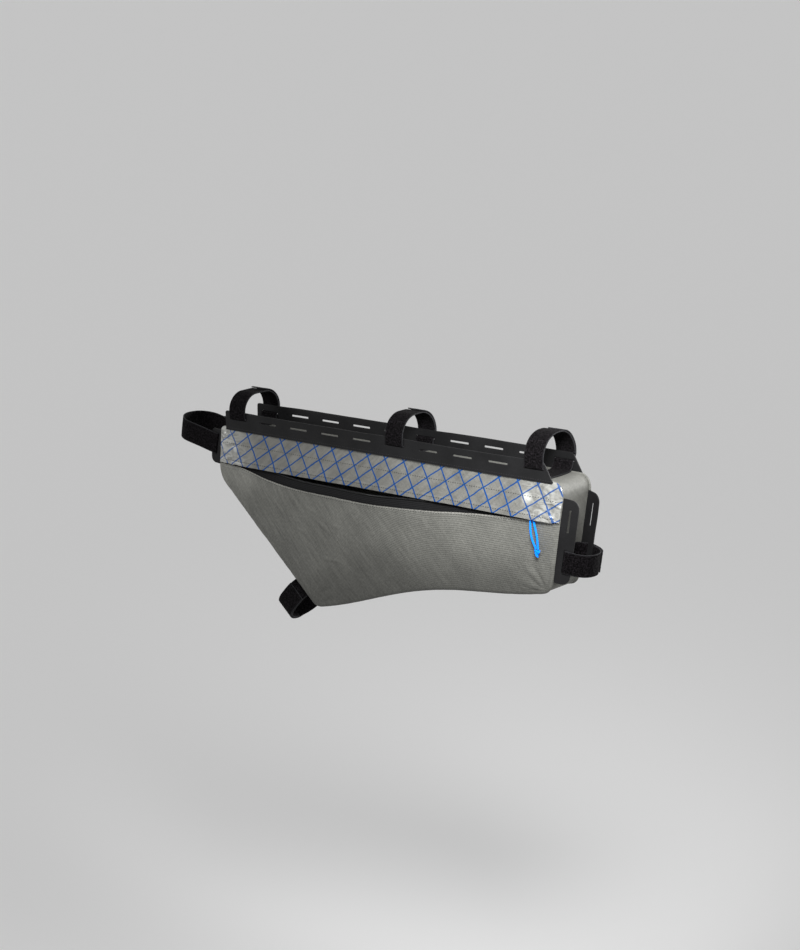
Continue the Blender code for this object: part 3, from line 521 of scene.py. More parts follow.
def lower_panel_surface():
    lower = bag_outline(SEAM_OVERHANG)[0]
    s = sizes()
    z_front = -(s.flap_drop + FLAP_CLEARANCE) - 0.0045
    chain = part_below(lower, z_front, -(s.rear_height - REAR_RADIUS))
    corner, rear_corner = body_corners()[2:4]

    def place(share, height):
        top, bottom = lip_line(share), along_chain(chain, share)
        p = bottom + (top - bottom) * height[..., None]
        drop = np.linalg.norm(top - bottom, axis=-1)
        low = height * drop
        out = NEAR_BELLY * belly(share, height)
        out += LIP_BULGE * smooth_table(LIP_AT, LIP_BULGES, share) * height**1.5
        x, z = p[..., 0], p[..., 1]
        middle = np.clip(belly(share, height) * 1.4, 0, 1)
        # Long soft folds that fall from the lip towards the lowest corner
        along, aside = x * 0.60 - z * 0.80, x * 0.80 + z * 0.60
        out += 0.0014 * middle * value_noise(aside / 0.038, along / 0.140, 11)
        out += 0.0005 * middle * value_noise(aside / 0.013, along / 0.080, 12)
        out += 0.0008 * middle * layered_noise(x / 0.050, z / 0.036, 13)
        out += short_creases(x, z)
        # Gathers that curve round the lowest corner, and creases out of the rear lower corner
        out += 0.0006 * gathers(
            x, z, low, corner, 0.004, (0.024, 0.020),
            lambda turn, away: turn * 13 + 1.8 * value_noise(away / 0.012, turn * 2, 21),
        )
        out += 0.0007 * gathers(
            x, z, low, rear_corner, 0.0, (0.020, 0.015),
            lambda turn, away: turn * 11 + 1.2 * value_noise(away / 0.01, turn * 2, 23),
        )
        out += pucker(share * lengths_along(chain)[-1], low, 31)
        # Folded hem along the lip
        hem = (1 - height) * drop
        fold = ramp(share, 1 / 60) * ramp(1 - share, 1 / 60)
        out += 0.0004 * smooth_step((0.0042 - hem) / 0.0012) * fold
        out -= 0.0003 * hump(hem, 0.0018, 0.0006) * fold
        out += 0.00030 * line_noise(share * 110, 41) * hump(hem, 0, 0.008)
        edge = np.minimum(low, (1 - share) * s.top_length * 0.9)
        y = -(half_width() + out) + seam_roll(edge)
        return np.stack((x, y, z), axis=-1)

    return place


def flap_surface():
    lower, upper = bag_outline(SEAM_OVERHANG)
    s = sizes()

    def place(share, height):
        top = along_chain(upper[::-1], share)
        bottom = level_line(lower, -s.flap_drop, share)
        p = bottom + (top - bottom) * height[..., None]
        x, z = p[..., 0], p[..., 1]
        low = 1 - height
        out = FLAP_BELLY * smooth_table(FLAP_AT, FLAP_BULGES, share) * low**1.2
        from_front, from_rear = x + s.top_length / 2, s.top_length / 2 - x
        ends = hump(from_front, 0, 0.027) + hump(from_rear, 0, 0.036)
        soft = smooth_step(low * (s.flap_drop / 0.005)) * ramp(from_rear, 0.004) * ramp(from_front, 0.003)
        out += soft * (0.0004 + 0.0005 * ends) * layered_noise(x / 0.026, z / 0.020, 51)
        out += soft * 0.0019 * ends * crests(x / 0.013 + 3, z / 0.010 + x / 0.03, 61)
        out += soft * 0.0007 * ends * crests(x / 0.0055, z / 0.0048, 65)
        # Shallow drag lines that lean as the cloth's diagonal does
        out += soft * 0.0006 * value_noise((x * 0.55 + z * 0.83) / 0.011, (x - z) / 0.045, 71)
        # Dent and crests beside the rear end, where the laminate buckles
        out += soft * 0.0016 * hump(x, 0.196, 0.011) * hump(z, -0.019, 0.009)
        out -= soft * 0.0012 * hump(x, 0.213, 0.008) * hump(z, -0.024, 0.008)
        out += soft * 0.0009 * hump((x - 0.214) * 0.2 + z, -0.0335, 0.0024) * hump(x, 0.212, 0.02)
        # Folded hem along the free edge
        out += 0.0004 * smooth_step(1 - (height * s.flap_drop - 0.0055) / 0.001)
        return np.stack((x, -(half_width() + out), z), axis=-1)

    return place


def far_panel_surface():
    lower, upper = bag_outline(SEAM_OVERHANG)
    s = sizes()
    chain = part_below(lower, -(s.front_height - FRONT_RADIUS / 2), -(s.rear_height - REAR_RADIUS))
    corner = body_corners()[2]

    def place(backward, height):
        share = 1 - backward
        top, bottom = along_chain(upper[::-1], share), along_chain(chain, share)
        p = bottom + (top - bottom) * height[..., None]
        x, z = p[..., 0], p[..., 1]
        full = belly(share, ramp(height, 0.97))
        middle = np.clip(full * 1.4, 0, 1)
        along, aside = x * 0.60 - z * 0.80, x * 0.80 + z * 0.60
        out = FAR_BELLY * full
        out += 0.0014 * middle * value_noise(aside / 0.034, along / 0.120, 111)
        out += 0.0006 * middle * layered_noise(x / 0.050, z / 0.036, 113)
        low = height * np.linalg.norm(top - bottom, axis=-1)
        out += 0.0008 * gathers(x, z, low, corner, 0.004, (0.026, 0.020), lambda turn, away: turn * 13 + 0.8)
        out += pucker(share * 0.7, low, 131)
        return np.stack((x, half_width() + out - seam_roll(low), z), axis=-1)

    return place


# Making meshes


def choose(*objects):
    """Selects these objects alone, in object mode, the first of them active."""
    if bpy.context.mode != "OBJECT":
        bpy.ops.object.mode_set(mode="OBJECT")
    bpy.ops.object.select_all(action="DESELECT")
    for obj in objects:
        obj.select_set(True)
    if objects:
        bpy.context.view_layer.objects.active = objects[0]


def join(*objects):
    """Joins pieces into the first of them."""
    choose(*objects)
    bpy.ops.object.join()
    return objects[0]


def apply_modifiers(obj):
    choose(obj)
    for modifier in list(obj.modifiers):
        bpy.ops.object.modifier_apply(modifier=modifier.name)


def clean(obj, merge=False, fill=False, turn_out=True):
    """Merges meeting edges, fills open ends and turns all faces outwards, as asked."""
    choose(obj)
    bpy.ops.object.mode_set(mode="EDIT")
    bpy.ops.mesh.select_all(action="SELECT")
    if merge:
        bpy.ops.mesh.remove_doubles(threshold=1e-6)
        bpy.ops.mesh.select_all(action="SELECT")
    if fill:
        bpy.ops.mesh.fill_holes(sides=0)
    if turn_out:
        bpy.ops.mesh.normals_make_consistent(inside=False)
    bpy.ops.object.mode_set(mode="OBJECT")


def points_of(mesh):
    flat = np.empty(len(mesh.vertices) * 3)
    mesh.vertices.foreach_get("co", flat)
    return flat.reshape(-1, 3)


def put_points(mesh, points):
    mesh.vertices.foreach_set("co", np.ascontiguousarray(points, float).ravel())
    mesh.update()


def points_of_loops(mesh):
    loops = np.empty(len(mesh.loops), np.int32)
    mesh.loops.foreach_get("vertex_index", loops)
    return loops


def keep_on_points(mesh, name, values):
    """Keeps a number on each point, as an attribute that the material reads."""
    mesh.attributes.new(name, "FLOAT", "POINT").data.foreach_set("value", values)


def add_grid(name, columns, rows, surface, flat_place):
    """Grid laid on a surface; flat_place gives the cloth's own flat place in metres, kept as the UV map."""
    choose()
    bpy.ops.mesh.primitive_grid_add(x_subdivisions=columns, y_subdivisions=rows, size=1.0)
    obj = bpy.context.object
    obj.name = obj.data.name = name
    mesh = obj.data
    share, height = np.clip(points_of(mesh)[:, :2] + 0.5, 0, 1).T
    put_points(mesh, surface(share, height))
    flat = flat_place(share, height)[points_of_loops(mesh)]
    mesh.uv_layers[0].data.foreach_set("uv", np.ascontiguousarray(flat).ravel())
    return obj


def flat_strip(length, width, middle=0.0):
    """Flat place on a strip, measured across from this share of its width."""
    return lambda share, height: np.stack((share * length, (height - middle) * width), axis=1)


def thicken(obj, thickness, offset):
    """Gives a sheet its thickness: offset 1 is outward of its normals, -1 inward and 0 both ways."""
    modifier = obj.modifiers.new("Cloth thickness", "SOLIDIFY")
    modifier.thickness = thickness
    modifier.offset = offset
    modifier.use_even_offset = False
    modifier.use_rim = True
    apply_modifiers(obj)


def soften_edges(obj, width, angle, segments=2):
    modifier = obj.modifiers.new("Soft edges", "BEVEL")
    modifier.width = width
    modifier.segments = segments
    modifier.limit_method = "ANGLE"
    modifier.angle_limit = math.radians(angle)
    modifier.harden_normals = False
    apply_modifiers(obj)


def side_panel(name, columns, rows, surface, thickness):
    """Cloth on one side of the bag; its flat place is the side view's."""
    obj = add_grid(name, columns, rows, surface, lambda share, height: surface(share, height)[:, (0, 2)])
    thicken(obj, thickness, 1.0)
    clean(obj)
    return obj


def finish(obj, material, slot, *nodes, angle=60):
    """Smooth shading, material, a parent under the empty body:root, and the CAD parts it stands for hidden.
    """
    choose(obj)
    if obj.type == "MESH":
        bpy.ops.object.shade_smooth_by_angle(angle=math.radians(angle))
    obj.data.materials.clear()
    obj.data.materials.append(material)
    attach(obj, "root")
    if nodes:
        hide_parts(*nodes)
    return obj


def tube(name, path, radius, sides, guide=ACROSS, closed=False, flat_place=None):
    """Tube along a path, bent from a grid: a closed ring, or capped at both ends."""
    path = np.asarray(path)
    radii = np.broadcast_to(np.asarray(radius, float), (len(path),))
    if closed:
        along = np.roll(path, -1, axis=0) - np.roll(path, 1, axis=0)
        path, along, radii = (np.concatenate((rows, rows[:1])) for rows in (path, along, radii))
    else:
        along = np.gradient(path, axis=0)
    along = unit(along)
    first = unit(np.cross(along, np.array(guide)))
    second = np.cross(along, first)
    lengths = lengths_along(path)

    def index(share):
        return np.rint(share * (len(path) - 1)).astype(int)

    def surface(share, height):
        i = index(share)
        angle = height[:, None] * 2 * math.pi
        return path[i] + (first[i] * np.cos(angle) + second[i] * np.sin(angle)) * radii[i][:, None]

    def along_and_round(share, height):
        i = index(share)
        return np.stack((lengths[i], height * 2 * math.pi * radii[i]), axis=1)

    def placed(share, height):
        return flat_place(surface(share, height))

    obj = add_grid(name, len(path) - 1, sides, surface, placed if flat_place else along_and_round)
    clean(obj, merge=True, fill=True)
    return obj


def stitch_row(surface, share, height, lift, pitch, thickness):
    """Stitches at one height of a sheet, lifted off its face."""
    e = 1e-4
    height = np.full_like(share, height)
    across = surface(np.clip(share + e, 0, 1), height) - surface(np.clip(share - e, 0, 1), height)
    up = surface(share, np.clip(height + e, 0, 1)) - surface(share, np.clip(height - e, 0, 1))
    normals = unit(np.cross(across, up))
    return stitches_on(surface(share, height) + normals * lift, normals, pitch, thickness)


def stitches_on(points, normals, pitch, thickness):
    """Frames of evenly spaced stitches along a row of points."""
    lengths = lengths_along(points)
    count = max(1, int(lengths[-1] / pitch))
    middles = (np.arange(count) + 0.5) * lengths[-1] / count
    before, place, after = (
        resample(middles + STITCH_LENGTH / 2 * end, lengths, points) for end in (-1, 0, 1)
    )
    out = unit(resample(middles, lengths, normals))
    return [(*frame_of, thickness) for frame_of in zip(place, unit(after - before), out)]


def add_stitches(name, frames, material, slot):
    """All the stitches of one thread as a piece: one bead that dips at both ends, copied along the rows."""
    choose()
    bpy.ops.mesh.primitive_uv_sphere_add(segments=6, ring_count=6, radius=0.5)
    obj = bpy.context.object
    obj.name = obj.data.name = name
    bead = points_of(obj.data)
    copies = obj.modifiers.new("Row of stitches", "ARRAY")
    copies.count = len(frames)
    apply_modifiers(obj)
    place, along, out, thickness = (np.array(column) for column in zip(*frames))
    side = np.cross(along, out)
    lift = 0.175 - 2.1 * bead[:, 2] ** 2
    laid = place[:, None, :] + along[:, None, :] * STITCH_LENGTH * bead[:, 2][None, :, None]
    for direction, amount in ((side, bead[:, 0]), (out, bead[:, 1] + lift)):
        laid += (direction * thickness[:, None])[:, None, :] * amount[None, :, None]
    put_points(obj.data, laid.reshape(-1, 3))
    clean(obj)
    return finish(obj, material, slot)


# Materials


class Nodes:
    """Adds linked nodes to one tree; a value is a number, a colour or another node's socket."""

    def __init__(self, tree):
        self.tree = tree

    def put(self, value, socket):
        if isinstance(value, bpy.types.NodeSocket):
            self.tree.links.new(value, socket)
        elif socket.type == "RGBA" and not isinstance(value, (int, float)):
            socket.default_value = (*tuple(value)[:3], 1.0)
        else:
            socket.default_value = value

    def add(self, kind, values=None, output=0, **settings):
        made = self.tree.nodes.new("ShaderNode" + kind)
        for name, value in settings.items():
            setattr(made, name, value)
        for name, value in (values or {}).items():
            self.put(value, made.inputs[name])
        return made.outputs[output]

    def maths(self, operation, *values):
        return self.add("Math", dict(enumerate(values)), operation=operation)

    def vectors(self, operation, *values, output=0):
        return self.add("VectorMath", dict(enumerate(values)), output, operation=operation)

    def times(self, value, *others):
        """Product of all the values."""
        for other in others:
            value = self.maths("MULTIPLY", value, other)
        return value

    def scaled(self, value, factor, base):
        """The value times a factor, plus a base."""
        return self.maths("MULTIPLY_ADD", value, factor, base)

    def stretched(self, vector, factor):
        return self.add("VectorMath", {0: vector, "Scale": factor}, operation="SCALE")

    def tint(self, colour, factor):
        """The colour times a factor that changes over the surface."""
        return self.stretched(tuple(colour), factor)

    def parts(self, vector):
        """The X, Y and Z of a vector."""
        return list(self.add("SeparateXYZ", {"Vector": vector}).node.outputs)

    def spread(self, value, low, high, to_low=0.0, to_high=1.0, smooth=False):
        """A value that goes from to_low to to_high while the given one goes from low to high."""
        values = {"Value": value, "From Min": low, "From Max": high, "To Min": to_low, "To Max": to_high}
        return self.add("MapRange", values, interpolation_type="SMOOTHSTEP" if smooth else "LINEAR")

    def noise(self, vector, scale, detail, output=0, **more):
        return self.add("TexNoise", {"Vector": vector, "Scale": scale, "Detail": detail, **more}, output)

    def turned(self, vector, degrees, **more):
        """Coordinates turned about Z, so that a pattern lies on a slant."""
        return self.add("Mapping", {"Vector": vector, "Rotation": (0.0, 0.0, math.radians(degrees)), **more})

    def blend(self, mask, low, high):
        """Colour that goes from low to high with the mask."""
        return self.add("Mix", {0: mask, 6: low, 7: high}, 2, data_type="RGBA")

    def bump(self, height, distance, strength, under=None):
        values = {"Height": height, "Distance": distance, "Strength": strength}
        if under is not None:
            values["Normal"] = under
        return self.add("Bump", values)

    def attribute(self, name):
        return self.add("Attribute", output="Fac", attribute_name=name)

    def cloth_place(self):
        """The cloth's own flat place in metres, from its UV map."""
        return self.add("UVMap")

    def object_place(self):
        return self.add("TexCoord", output="Object")

    def group(self, name, **values):
        """One of the shared node groups, with its own values."""
        made = self.tree.nodes.new("ShaderNodeGroup")
        made.node_tree = bpy.data.node_groups.get(name) or shader_group(name, *GROUPS[name])
        for label, value in values.items():
            self.put(value, made.inputs[label])
        return made.outputs[0]

    def clouds(self, vector, scale, low, high, **more):
        return self.group("Cloudy shading", Vector=vector, Scale=scale, Low=low, High=high, **more)

    def lines(self, vector, pitch, width, **more):
        return self.group("Slanted lines", Vector=vector, Pitch=pitch, Width=width, **more)


SHADER_SOCKETS = {"colour": "Base Color", "specular": "Specular IOR Level"}


class Material(Nodes):
    """A material being made, with one Principled shader."""

    def __init__(self, name, **fixed):
        self.material = bpy.data.materials.get(name) or bpy.data.materials.new(name)
        self.material.use_nodes = True
        super().__init__(self.material.node_tree)
        self.tree.nodes.clear()
        output = self.tree.nodes.new("ShaderNodeOutputMaterial")
        self.shader = self.tree.nodes.new("ShaderNodeBsdfPrincipled")
        self.tree.links.new(self.shader.outputs[0], output.inputs[0])
        self.feed(**fixed)

    def feed(self, **values):
        """Sets or links the shader's sockets, by their names in small letters, and gives the material."""
        for name, value in values.items():
            socket = SHADER_SOCKETS.get(name) or name.replace("_", " ").title()
            self.put(value, self.shader.inputs[socket])
        return self.material


def shader_group(name, build, output, inputs):
    """A node group with named inputs, numbers or vectors by their defaults, and one named output."""
    tree = bpy.data.node_groups.new(name, "ShaderNodeTree")
    for label, default in inputs.items():
        kind = "NodeSocketFloat" if isinstance(default, float) else "NodeSocketVector"
        socket = tree.interface.new_socket(label, in_out="INPUT", socket_type=kind)
        if default is not None:
            socket.default_value = default
    tree.interface.new_socket(output, in_out="OUTPUT", socket_type="NodeSocketFloat")
    entry = tree.nodes.new("NodeGroupInput")
    leave = tree.nodes.new("NodeGroupOutput")
    found = build(Nodes(tree), *(entry.outputs[label] for label in inputs))
    tree.links.new(found, leave.inputs[output])
    return tree


def plain_weave(nodes, vector, pitch):
    """Threads that pass over and under each other."""
    turns = nodes.maths("DIVIDE", 2 * math.pi, pitch)
    u, v = (nodes.maths("COSINE", nodes.times(part, turns)) for part in nodes.parts(vector)[:2])
    return nodes.scaled(nodes.times(u, v), 0.5, 0.5)


def cloudy_shading(nodes, vector, stretch, scale, detail, low, high):
    """Soft uneven shading from low to high, with patches of a given size."""
    noise = nodes.noise(nodes.vectors("MULTIPLY", vector, stretch), scale, detail, Roughness=0.55)
    return nodes.spread(noise, 0.28, 0.72, low, high)


def slanted_lines(nodes, vector, slant, start, pitch, width):
    """Parallel lines on a slant: 1 on a line and 0 between lines."""
    x, y, _ = nodes.parts(vector)
    across = nodes.maths("ADD", x, nodes.times(y, slant))
    steps = nodes.maths("DIVIDE", nodes.maths("SUBTRACT", across, start), pitch)
    nearest = nodes.maths("ABSOLUTE", nodes.maths("SUBTRACT", steps, nodes.maths("ROUND", steps)))
    outer, inner = nodes.times(width, 0.56), nodes.times(width, 0.44)
    return nodes.spread(nodes.times(nearest, pitch), outer, inner, smooth=True)


def rubbed_streaks(nodes, vector):
    """Faint rubbed streaks, from 0 to 1."""
    drawn = nodes.vectors("MULTIPLY", vector, (60.0, 240.0, 60.0))
    streaks = nodes.noise(drawn, 1.0, 4.0, Roughness=0.65, Distortion=1.2)
    patches = nodes.noise(vector, 22.0, 2.0)
    return nodes.times(nodes.spread(streaks, 0.66, 0.76), nodes.spread(patches, 0.56, 0.68))


def crumpled_film(nodes, vector, scale):
    """Thin curving creases as in crumpled film, from 0 to 1."""
    noise = nodes.noise(vector, scale, 1.0, Distortion=0.9)
    offset = nodes.maths("ABSOLUTE", nodes.maths("SUBTRACT", noise, 0.5))
    return nodes.spread(offset, 0.0, 0.10, 1.0, 0.0, smooth=True)


GROUPS = {
    "Plain weave": (plain_weave, "Height", {"Vector": None, "Pitch": 0.001}),
    "Cloudy shading": (cloudy_shading, "Value", {
        "Vector": None, "Stretch": (1.0, 1.0, 1.0), "Scale": 20.0, "Detail": 3.0, "Low": 0.0, "High": 1.0,
    }),
    "Slanted lines": (slanted_lines, "Line", {
        "Vector": None, "Slant": 0.0, "Start": 0.0, "Pitch": 0.01, "Width": 0.001,
    }),
    "Rubbed streaks": (rubbed_streaks, "Mask", {"Vector": None}),
    "Crumpled film": (crumpled_film, "Crest", {"Vector": None, "Scale": 60.0}),
}


def body_cloth():
    """Grey-green woven nylon with level ribs, diagonal drag shading and faint scuffs, with painted shade
    towards the bottom, painted light at the near front corner and a painted highlight along the lip's fold.
    """
    look = Material("body_cloth", roughness=0.60, sheen_weight=0.02, sheen_roughness=0.5, specular=0.18)
    flat = look.cloth_place()
    x, y, _ = look.parts(flat)
    uneven = look.clouds(flat, 10.0, 0.55, 1.0)
    # Ribs, level at the rear and curving down in front of it
    frontward = look.maths("MINIMUM", look.maths("SUBTRACT", x, 0.115), 0.0)
    arc = look.add("CombineXYZ", {"X": frontward, "Y": look.maths("ADD", y, 0.25)})
    ribs = look.times(
        look.lines(look.vectors("LENGTH", arc, output="Value"), 0.0023, 0.0016), uneven,
        look.spread(y, -0.150, -0.085, 0.15, 1.0), look.spread(x, -0.12, 0.10, 0.25, 1.0),
    )
    # Streaks and faint hatching on the cloth's diagonal, strongest where the ribs fade
    slanted = look.turned(flat, 49.0)
    fade = look.spread(x, -0.10, 0.12, 1.15, 0.4)
    streaks = look.clouds(slanted, 210.0, 0.84, 1.16, Stretch=(0.12, 1.0, 1.0), Detail=6.0)
    drag = look.scaled(look.maths("SUBTRACT", streaks, 1.0), fade, 1.0)
    hatching = look.scaled(look.times(look.lines(slanted, 0.0029, 0.0018), fade), 0.05, 0.975)
    weave = look.group("Plain weave", Vector=flat, Pitch=0.0009)
    # Painted shade darker along the lower edge, which slopes up to the front, and painted light at the near
    # front corner
    slope = look.times(look.maths("MINIMUM", x, 0.0), 0.6)
    above = look.maths("SUBTRACT", look.maths("ADD", y, 0.122), slope)
    from_corner = look.vectors("DISTANCE", flat, (-0.222, -0.048, 0.0), output="Value")
    lit = look.spread(from_corner, 0.010, 0.055, 0.36, 0.0, smooth=True)
    near = look.maths("LESS_THAN", look.parts(look.object_place())[1], 0.0)
    # Tone of the cloth with its textures, the painted shade towards the bottom and the painted light near
    # the front corner
    shade = look.times(
        look.clouds(flat, 24.0, 0.87, 1.13), look.clouds(flat, 330.0, 0.87, 1.13, Detail=2.0),
        look.scaled(ribs, 0.27, 0.90), look.scaled(weave, 0.16, 0.92), drag, hatching,
        look.spread(y, -0.170, -0.060, 0.82, 1.0), look.spread(above, 0.0, 0.040, 0.80, 1.0, smooth=True),
        look.scaled(lit, near, 1.0),
    )
    scuffs = look.times(look.group("Rubbed streaks", Vector=flat), 0.35)
    colour = look.blend(scuffs, look.tint(colours().body, shade), SCUFFED_CLOTH)
    # Painted highlight along the lip's folded edge, in dashes between the stitches
    dashes = look.scaled(look.lines(flat, 0.0042, 0.0027), 0.45, 0.15)
    colour = look.blend(look.times(look.attribute("hem"), uneven, dashes), colour, PAINTED_LIP_HIGHLIGHT)
    relief = look.bump(weave, 0.00014, 0.6)
    relief = look.bump(drag, 0.0018, 0.7, relief)
    return look.feed(colour=colour, normal=look.bump(ribs, 0.00035, 0.8, relief))


def grid_laminate():
    """Light satin laminate with a diamond grid of blue threads under its film, crazed white at both ends,
    where a painted highlight adds to the crazing, and with painted glints.
    """
    look = Material("grid_laminate_film", roughness=0.36, coat_roughness=0.14, specular=0.16)
    flat = look.cloth_place()
    x = look.parts(flat)[0]
    # Threads that wander a little
    bent = flat
    for scale, detail, reach in ((30.0, 2.0, 0.0016), (210.0, 1.0, 0.0011)):
        wander = look.noise(flat, scale, detail, "Color")
        bent = look.vectors("ADD", bent, look.stretched(wander, reach))
    steep = look.lines(bent, 0.02566, 0.0021, Slant=0.5317, Start=0.0045)
    shallow = look.lines(bent, 0.0254, 0.0026, Slant=-1.455, Start=0.0625)
    grid = look.maths("MAXIMUM", steep, shallow)
    threads = look.times(grid, look.clouds(flat, 420.0, 0.95, 1.0, Detail=2.0))
    ripstop = look.maths("MAXIMUM", *(
        look.lines(bent, pitch, 0.0009, Slant=slant) for slant, pitch in ((0.9, 0.0055), (-1.1, 0.0062))
    ))
    drag = look.clouds(look.turned(flat, -42.0), 190.0, 0.80, 1.15, Stretch=(0.18, 1.0, 1.0), Detail=4.0)
    # Crazing at both ends with a painted whitish highlight over it, and the painted glints
    ends = look.maths("MAXIMUM", look.spread(x, -0.236, -0.190, 1.5, 0.0), look.spread(x, 0.180, 0.215))
    raked = look.turned(flat, -28.0, Scale=(0.55, 1.2, 1.0))
    large, small = (look.group("Crumpled film", Vector=raked, Scale=scale) for scale in (60.0, 125.0))
    crazed = look.maths("MAXIMUM", large, look.times(small, 0.5))
    highlight_haze = look.clouds(flat, 90.0, 0.0, 0.36)
    white = look.times(ends, look.maths("MAXIMUM", look.times(crazed, 0.37), highlight_haze))
    # Painted highlights, one soft white spot for each glint
    for place, stretch, reach, strength in PAINTED_GLINTS:
        away = look.vectors("MULTIPLY", look.vectors("SUBTRACT", flat, (*place, 0.0)), (*stretch, 1.0))
        away = look.vectors("LENGTH", away, output="Value")
        glint = look.spread(away, 0.1 * reach, reach, strength, 0.0, smooth=True)
        white = look.maths("MAXIMUM", white, glint)
    shade = look.times(look.clouds(flat, 45.0, 0.80, 1.12), drag, look.scaled(ripstop, -0.05, 1.0))
    colour = look.blend(threads, look.tint(colours().laminate, shade), colours().lines)
    # Crazing, painted highlight and painted glints whiten the film, less on the threads
    colour = look.blend(look.times(white, look.scaled(threads, -0.62, 0.75)), colour, CRAZING_AND_PAINTED_HIGHLIGHT)
    relief = look.bump(look.noise(flat, 240.0, 5.0, Roughness=0.6), 0.0008, 0.7)
    relief = look.bump(look.times(crazed, look.scaled(ends, 0.9, 0.1)), 0.0007, 0.8, relief)
    relief = look.bump(drag, 0.0012, 0.5, relief)
    relief = look.bump(ripstop, 0.00008, 0.8, relief)
    return look.feed(
        colour=colour, normal=look.bump(grid, 0.00008, 0.8, relief),
        roughness=look.maths("SUBTRACT", look.clouds(flat, 120.0, 0.30, 0.46), look.times(ends, 0.12)),
        coat_weight=look.scaled(ends, 0.40, 0.02),
    )


def rubber_sheet():
    """Matte black rubber-coated sheet with a fine grain and paler rubbed patches."""
    look = Material("rubber_coated_sheet", specular=0.14)
    place = look.object_place()
    grain = look.clouds(place, 900.0, 0.0, 1.0, Detail=2.0)
    shade = look.times(look.clouds(place, 38.0, 0.80, 1.25, Detail=4.0), look.scaled(grain, 0.30, 0.85))
    return look.feed(
        colour=look.tint(colours().rubber, shade), roughness=look.clouds(place, 60.0, 0.54, 0.70),
        normal=look.bump(grain, 0.00018, 0.5),
    )


def loop_webbing():
    """Black hook-and-loop webbing: matted pile with lint, and a thin woven edge all round."""
    look = Material("loop_pile_webbing", sheen_weight=0.008, sheen_roughness=0.6, specular=0.03)
    flat = look.cloth_place()
    rim = look.attribute("rim")
    pile = look.noise(flat, 540.0, 3.0, Roughness=0.7)
    tufts = look.add("TexVoronoi", {"Vector": flat, "Scale": 520.0, "Randomness": 1.0}, "Distance")
    shade = look.times(look.spread(pile, 0.42, 0.64, 0.1, 3.4), look.clouds(flat, 130.0, 0.75, 1.3))
    lint = look.spread(pile, 0.64, 0.78, 0.0, 0.35)
    colour = look.blend(lint, look.tint(colours().webbing, shade), LINT)
    return look.feed(
        colour=look.blend(look.times(rim, 0.8), colour, WOVEN_EDGE),
        roughness=look.scaled(rim, -0.30, 0.95),
        normal=look.bump(tufts, 0.0006, 0.7, look.bump(pile, 0.0012, 0.9)),
    )


def zip_tape():
    """Black knitted tape with fine ribs along it."""
    look = Material("ribbed_zip_tape", roughness=0.8, specular=0.12)
    flat = look.cloth_place()
    ribs = look.lines(look.turned(flat, 90.0), 0.0013, 0.0007)
    weave = look.bump(look.group("Plain weave", Vector=flat, Pitch=0.0007), 0.0002, 0.6)
    return look.feed(
        colour=look.tint(colours().tape, look.scaled(ribs, 0.9, 0.8)),
        normal=look.bump(ribs, 0.00025, 0.8, weave),
    )


def coil_nylon():
    """Smooth black nylon."""
    look = Material("coil_nylon")
    place = look.object_place()
    return look.feed(
        colour=look.tint(colours().coil, look.clouds(place, 300.0, 0.8, 1.6)),
        roughness=look.clouds(place, 200.0, 0.28, 0.45),
    )


def cord_braid():
    """Bright braided cord."""
    look = Material("cord_braid", roughness=0.5, specular=0.10)
    place = look.object_place()
    slants = []
    for turn in (35.0, -35.0):
        turned = look.add("Mapping", {"Vector": place, "Rotation": (0.0, math.radians(turn), 0.0)})
        values = {"Vector": turned, "Scale": 260.0, "Distortion": 0.6, "Detail": 1.0}
        slants.append(look.add("TexWave", values, 1, bands_direction="Z"))
    braid = look.maths("MAXIMUM", *slants)
    return look.feed(
        colour=look.tint(colours().cord, look.scaled(braid, 0.30, 0.78)),
        normal=look.bump(braid, 0.0002, 0.7),
    )


def sewing_thread(name, colour):
    look = Material(name, roughness=0.6)
    place = look.object_place()
    return look.feed(
        colour=look.tint(colour, look.clouds(place, 500.0, 0.75, 1.2)),
        normal=look.bump(look.noise(place, 2500.0, 1.0), 0.0001, 0.5),
    )


# Operators: one for each piece or group of like pieces


class FRAMEBAG_OT_gusset(bpy.types.Operator):
    """Band of body cloth between the two sides"""

    bl_idname = "framebag.gusset"
    bl_label = "Gusset"

    def execute(self, context):
        closed, total = closed_outline(0.0)
        reach = half_width() - GAP

        def surface(share, height):
            ahead, behind = (along_chain(closed, np.mod(share + step, 1)) for step in (0.0015, -0.0015))
            along = unit(ahead - behind)
            out = np.stack((along[:, 1], -along[:, 0]), axis=1)
            across = (height - 0.5) * 2
            travel = np.mod(share, 1) * total
            dip = -0.0002 - 0.0004 * (1 - across**2) * (1 + value_noise(travel / 0.022, height * 1.5, 201))
            dip -= 0.0002 * (1 + value_noise(travel / 0.007, height * 3, 203)) * np.abs(across) ** 3
            blend = smooth_step(np.minimum(share, 1 - share) / 0.02)
            dip = dip * blend - 0.0004 * (1 - blend)
            p = along_chain(closed, share) + out * dip[:, None]
            return np.stack((p[:, 0], across * reach, p[:, 1]), axis=1)

        obj = add_grid("gusset", 520, 20, surface, flat_strip(total, 2 * reach, 0.5))
        clean(obj, merge=True, turn_out=False)
        thicken(obj, GUSSET_WALL, -1.0)
        clean(obj)
        finish(obj, body_cloth(), "body_nylon", "gusset_band")
        return {"FINISHED"}


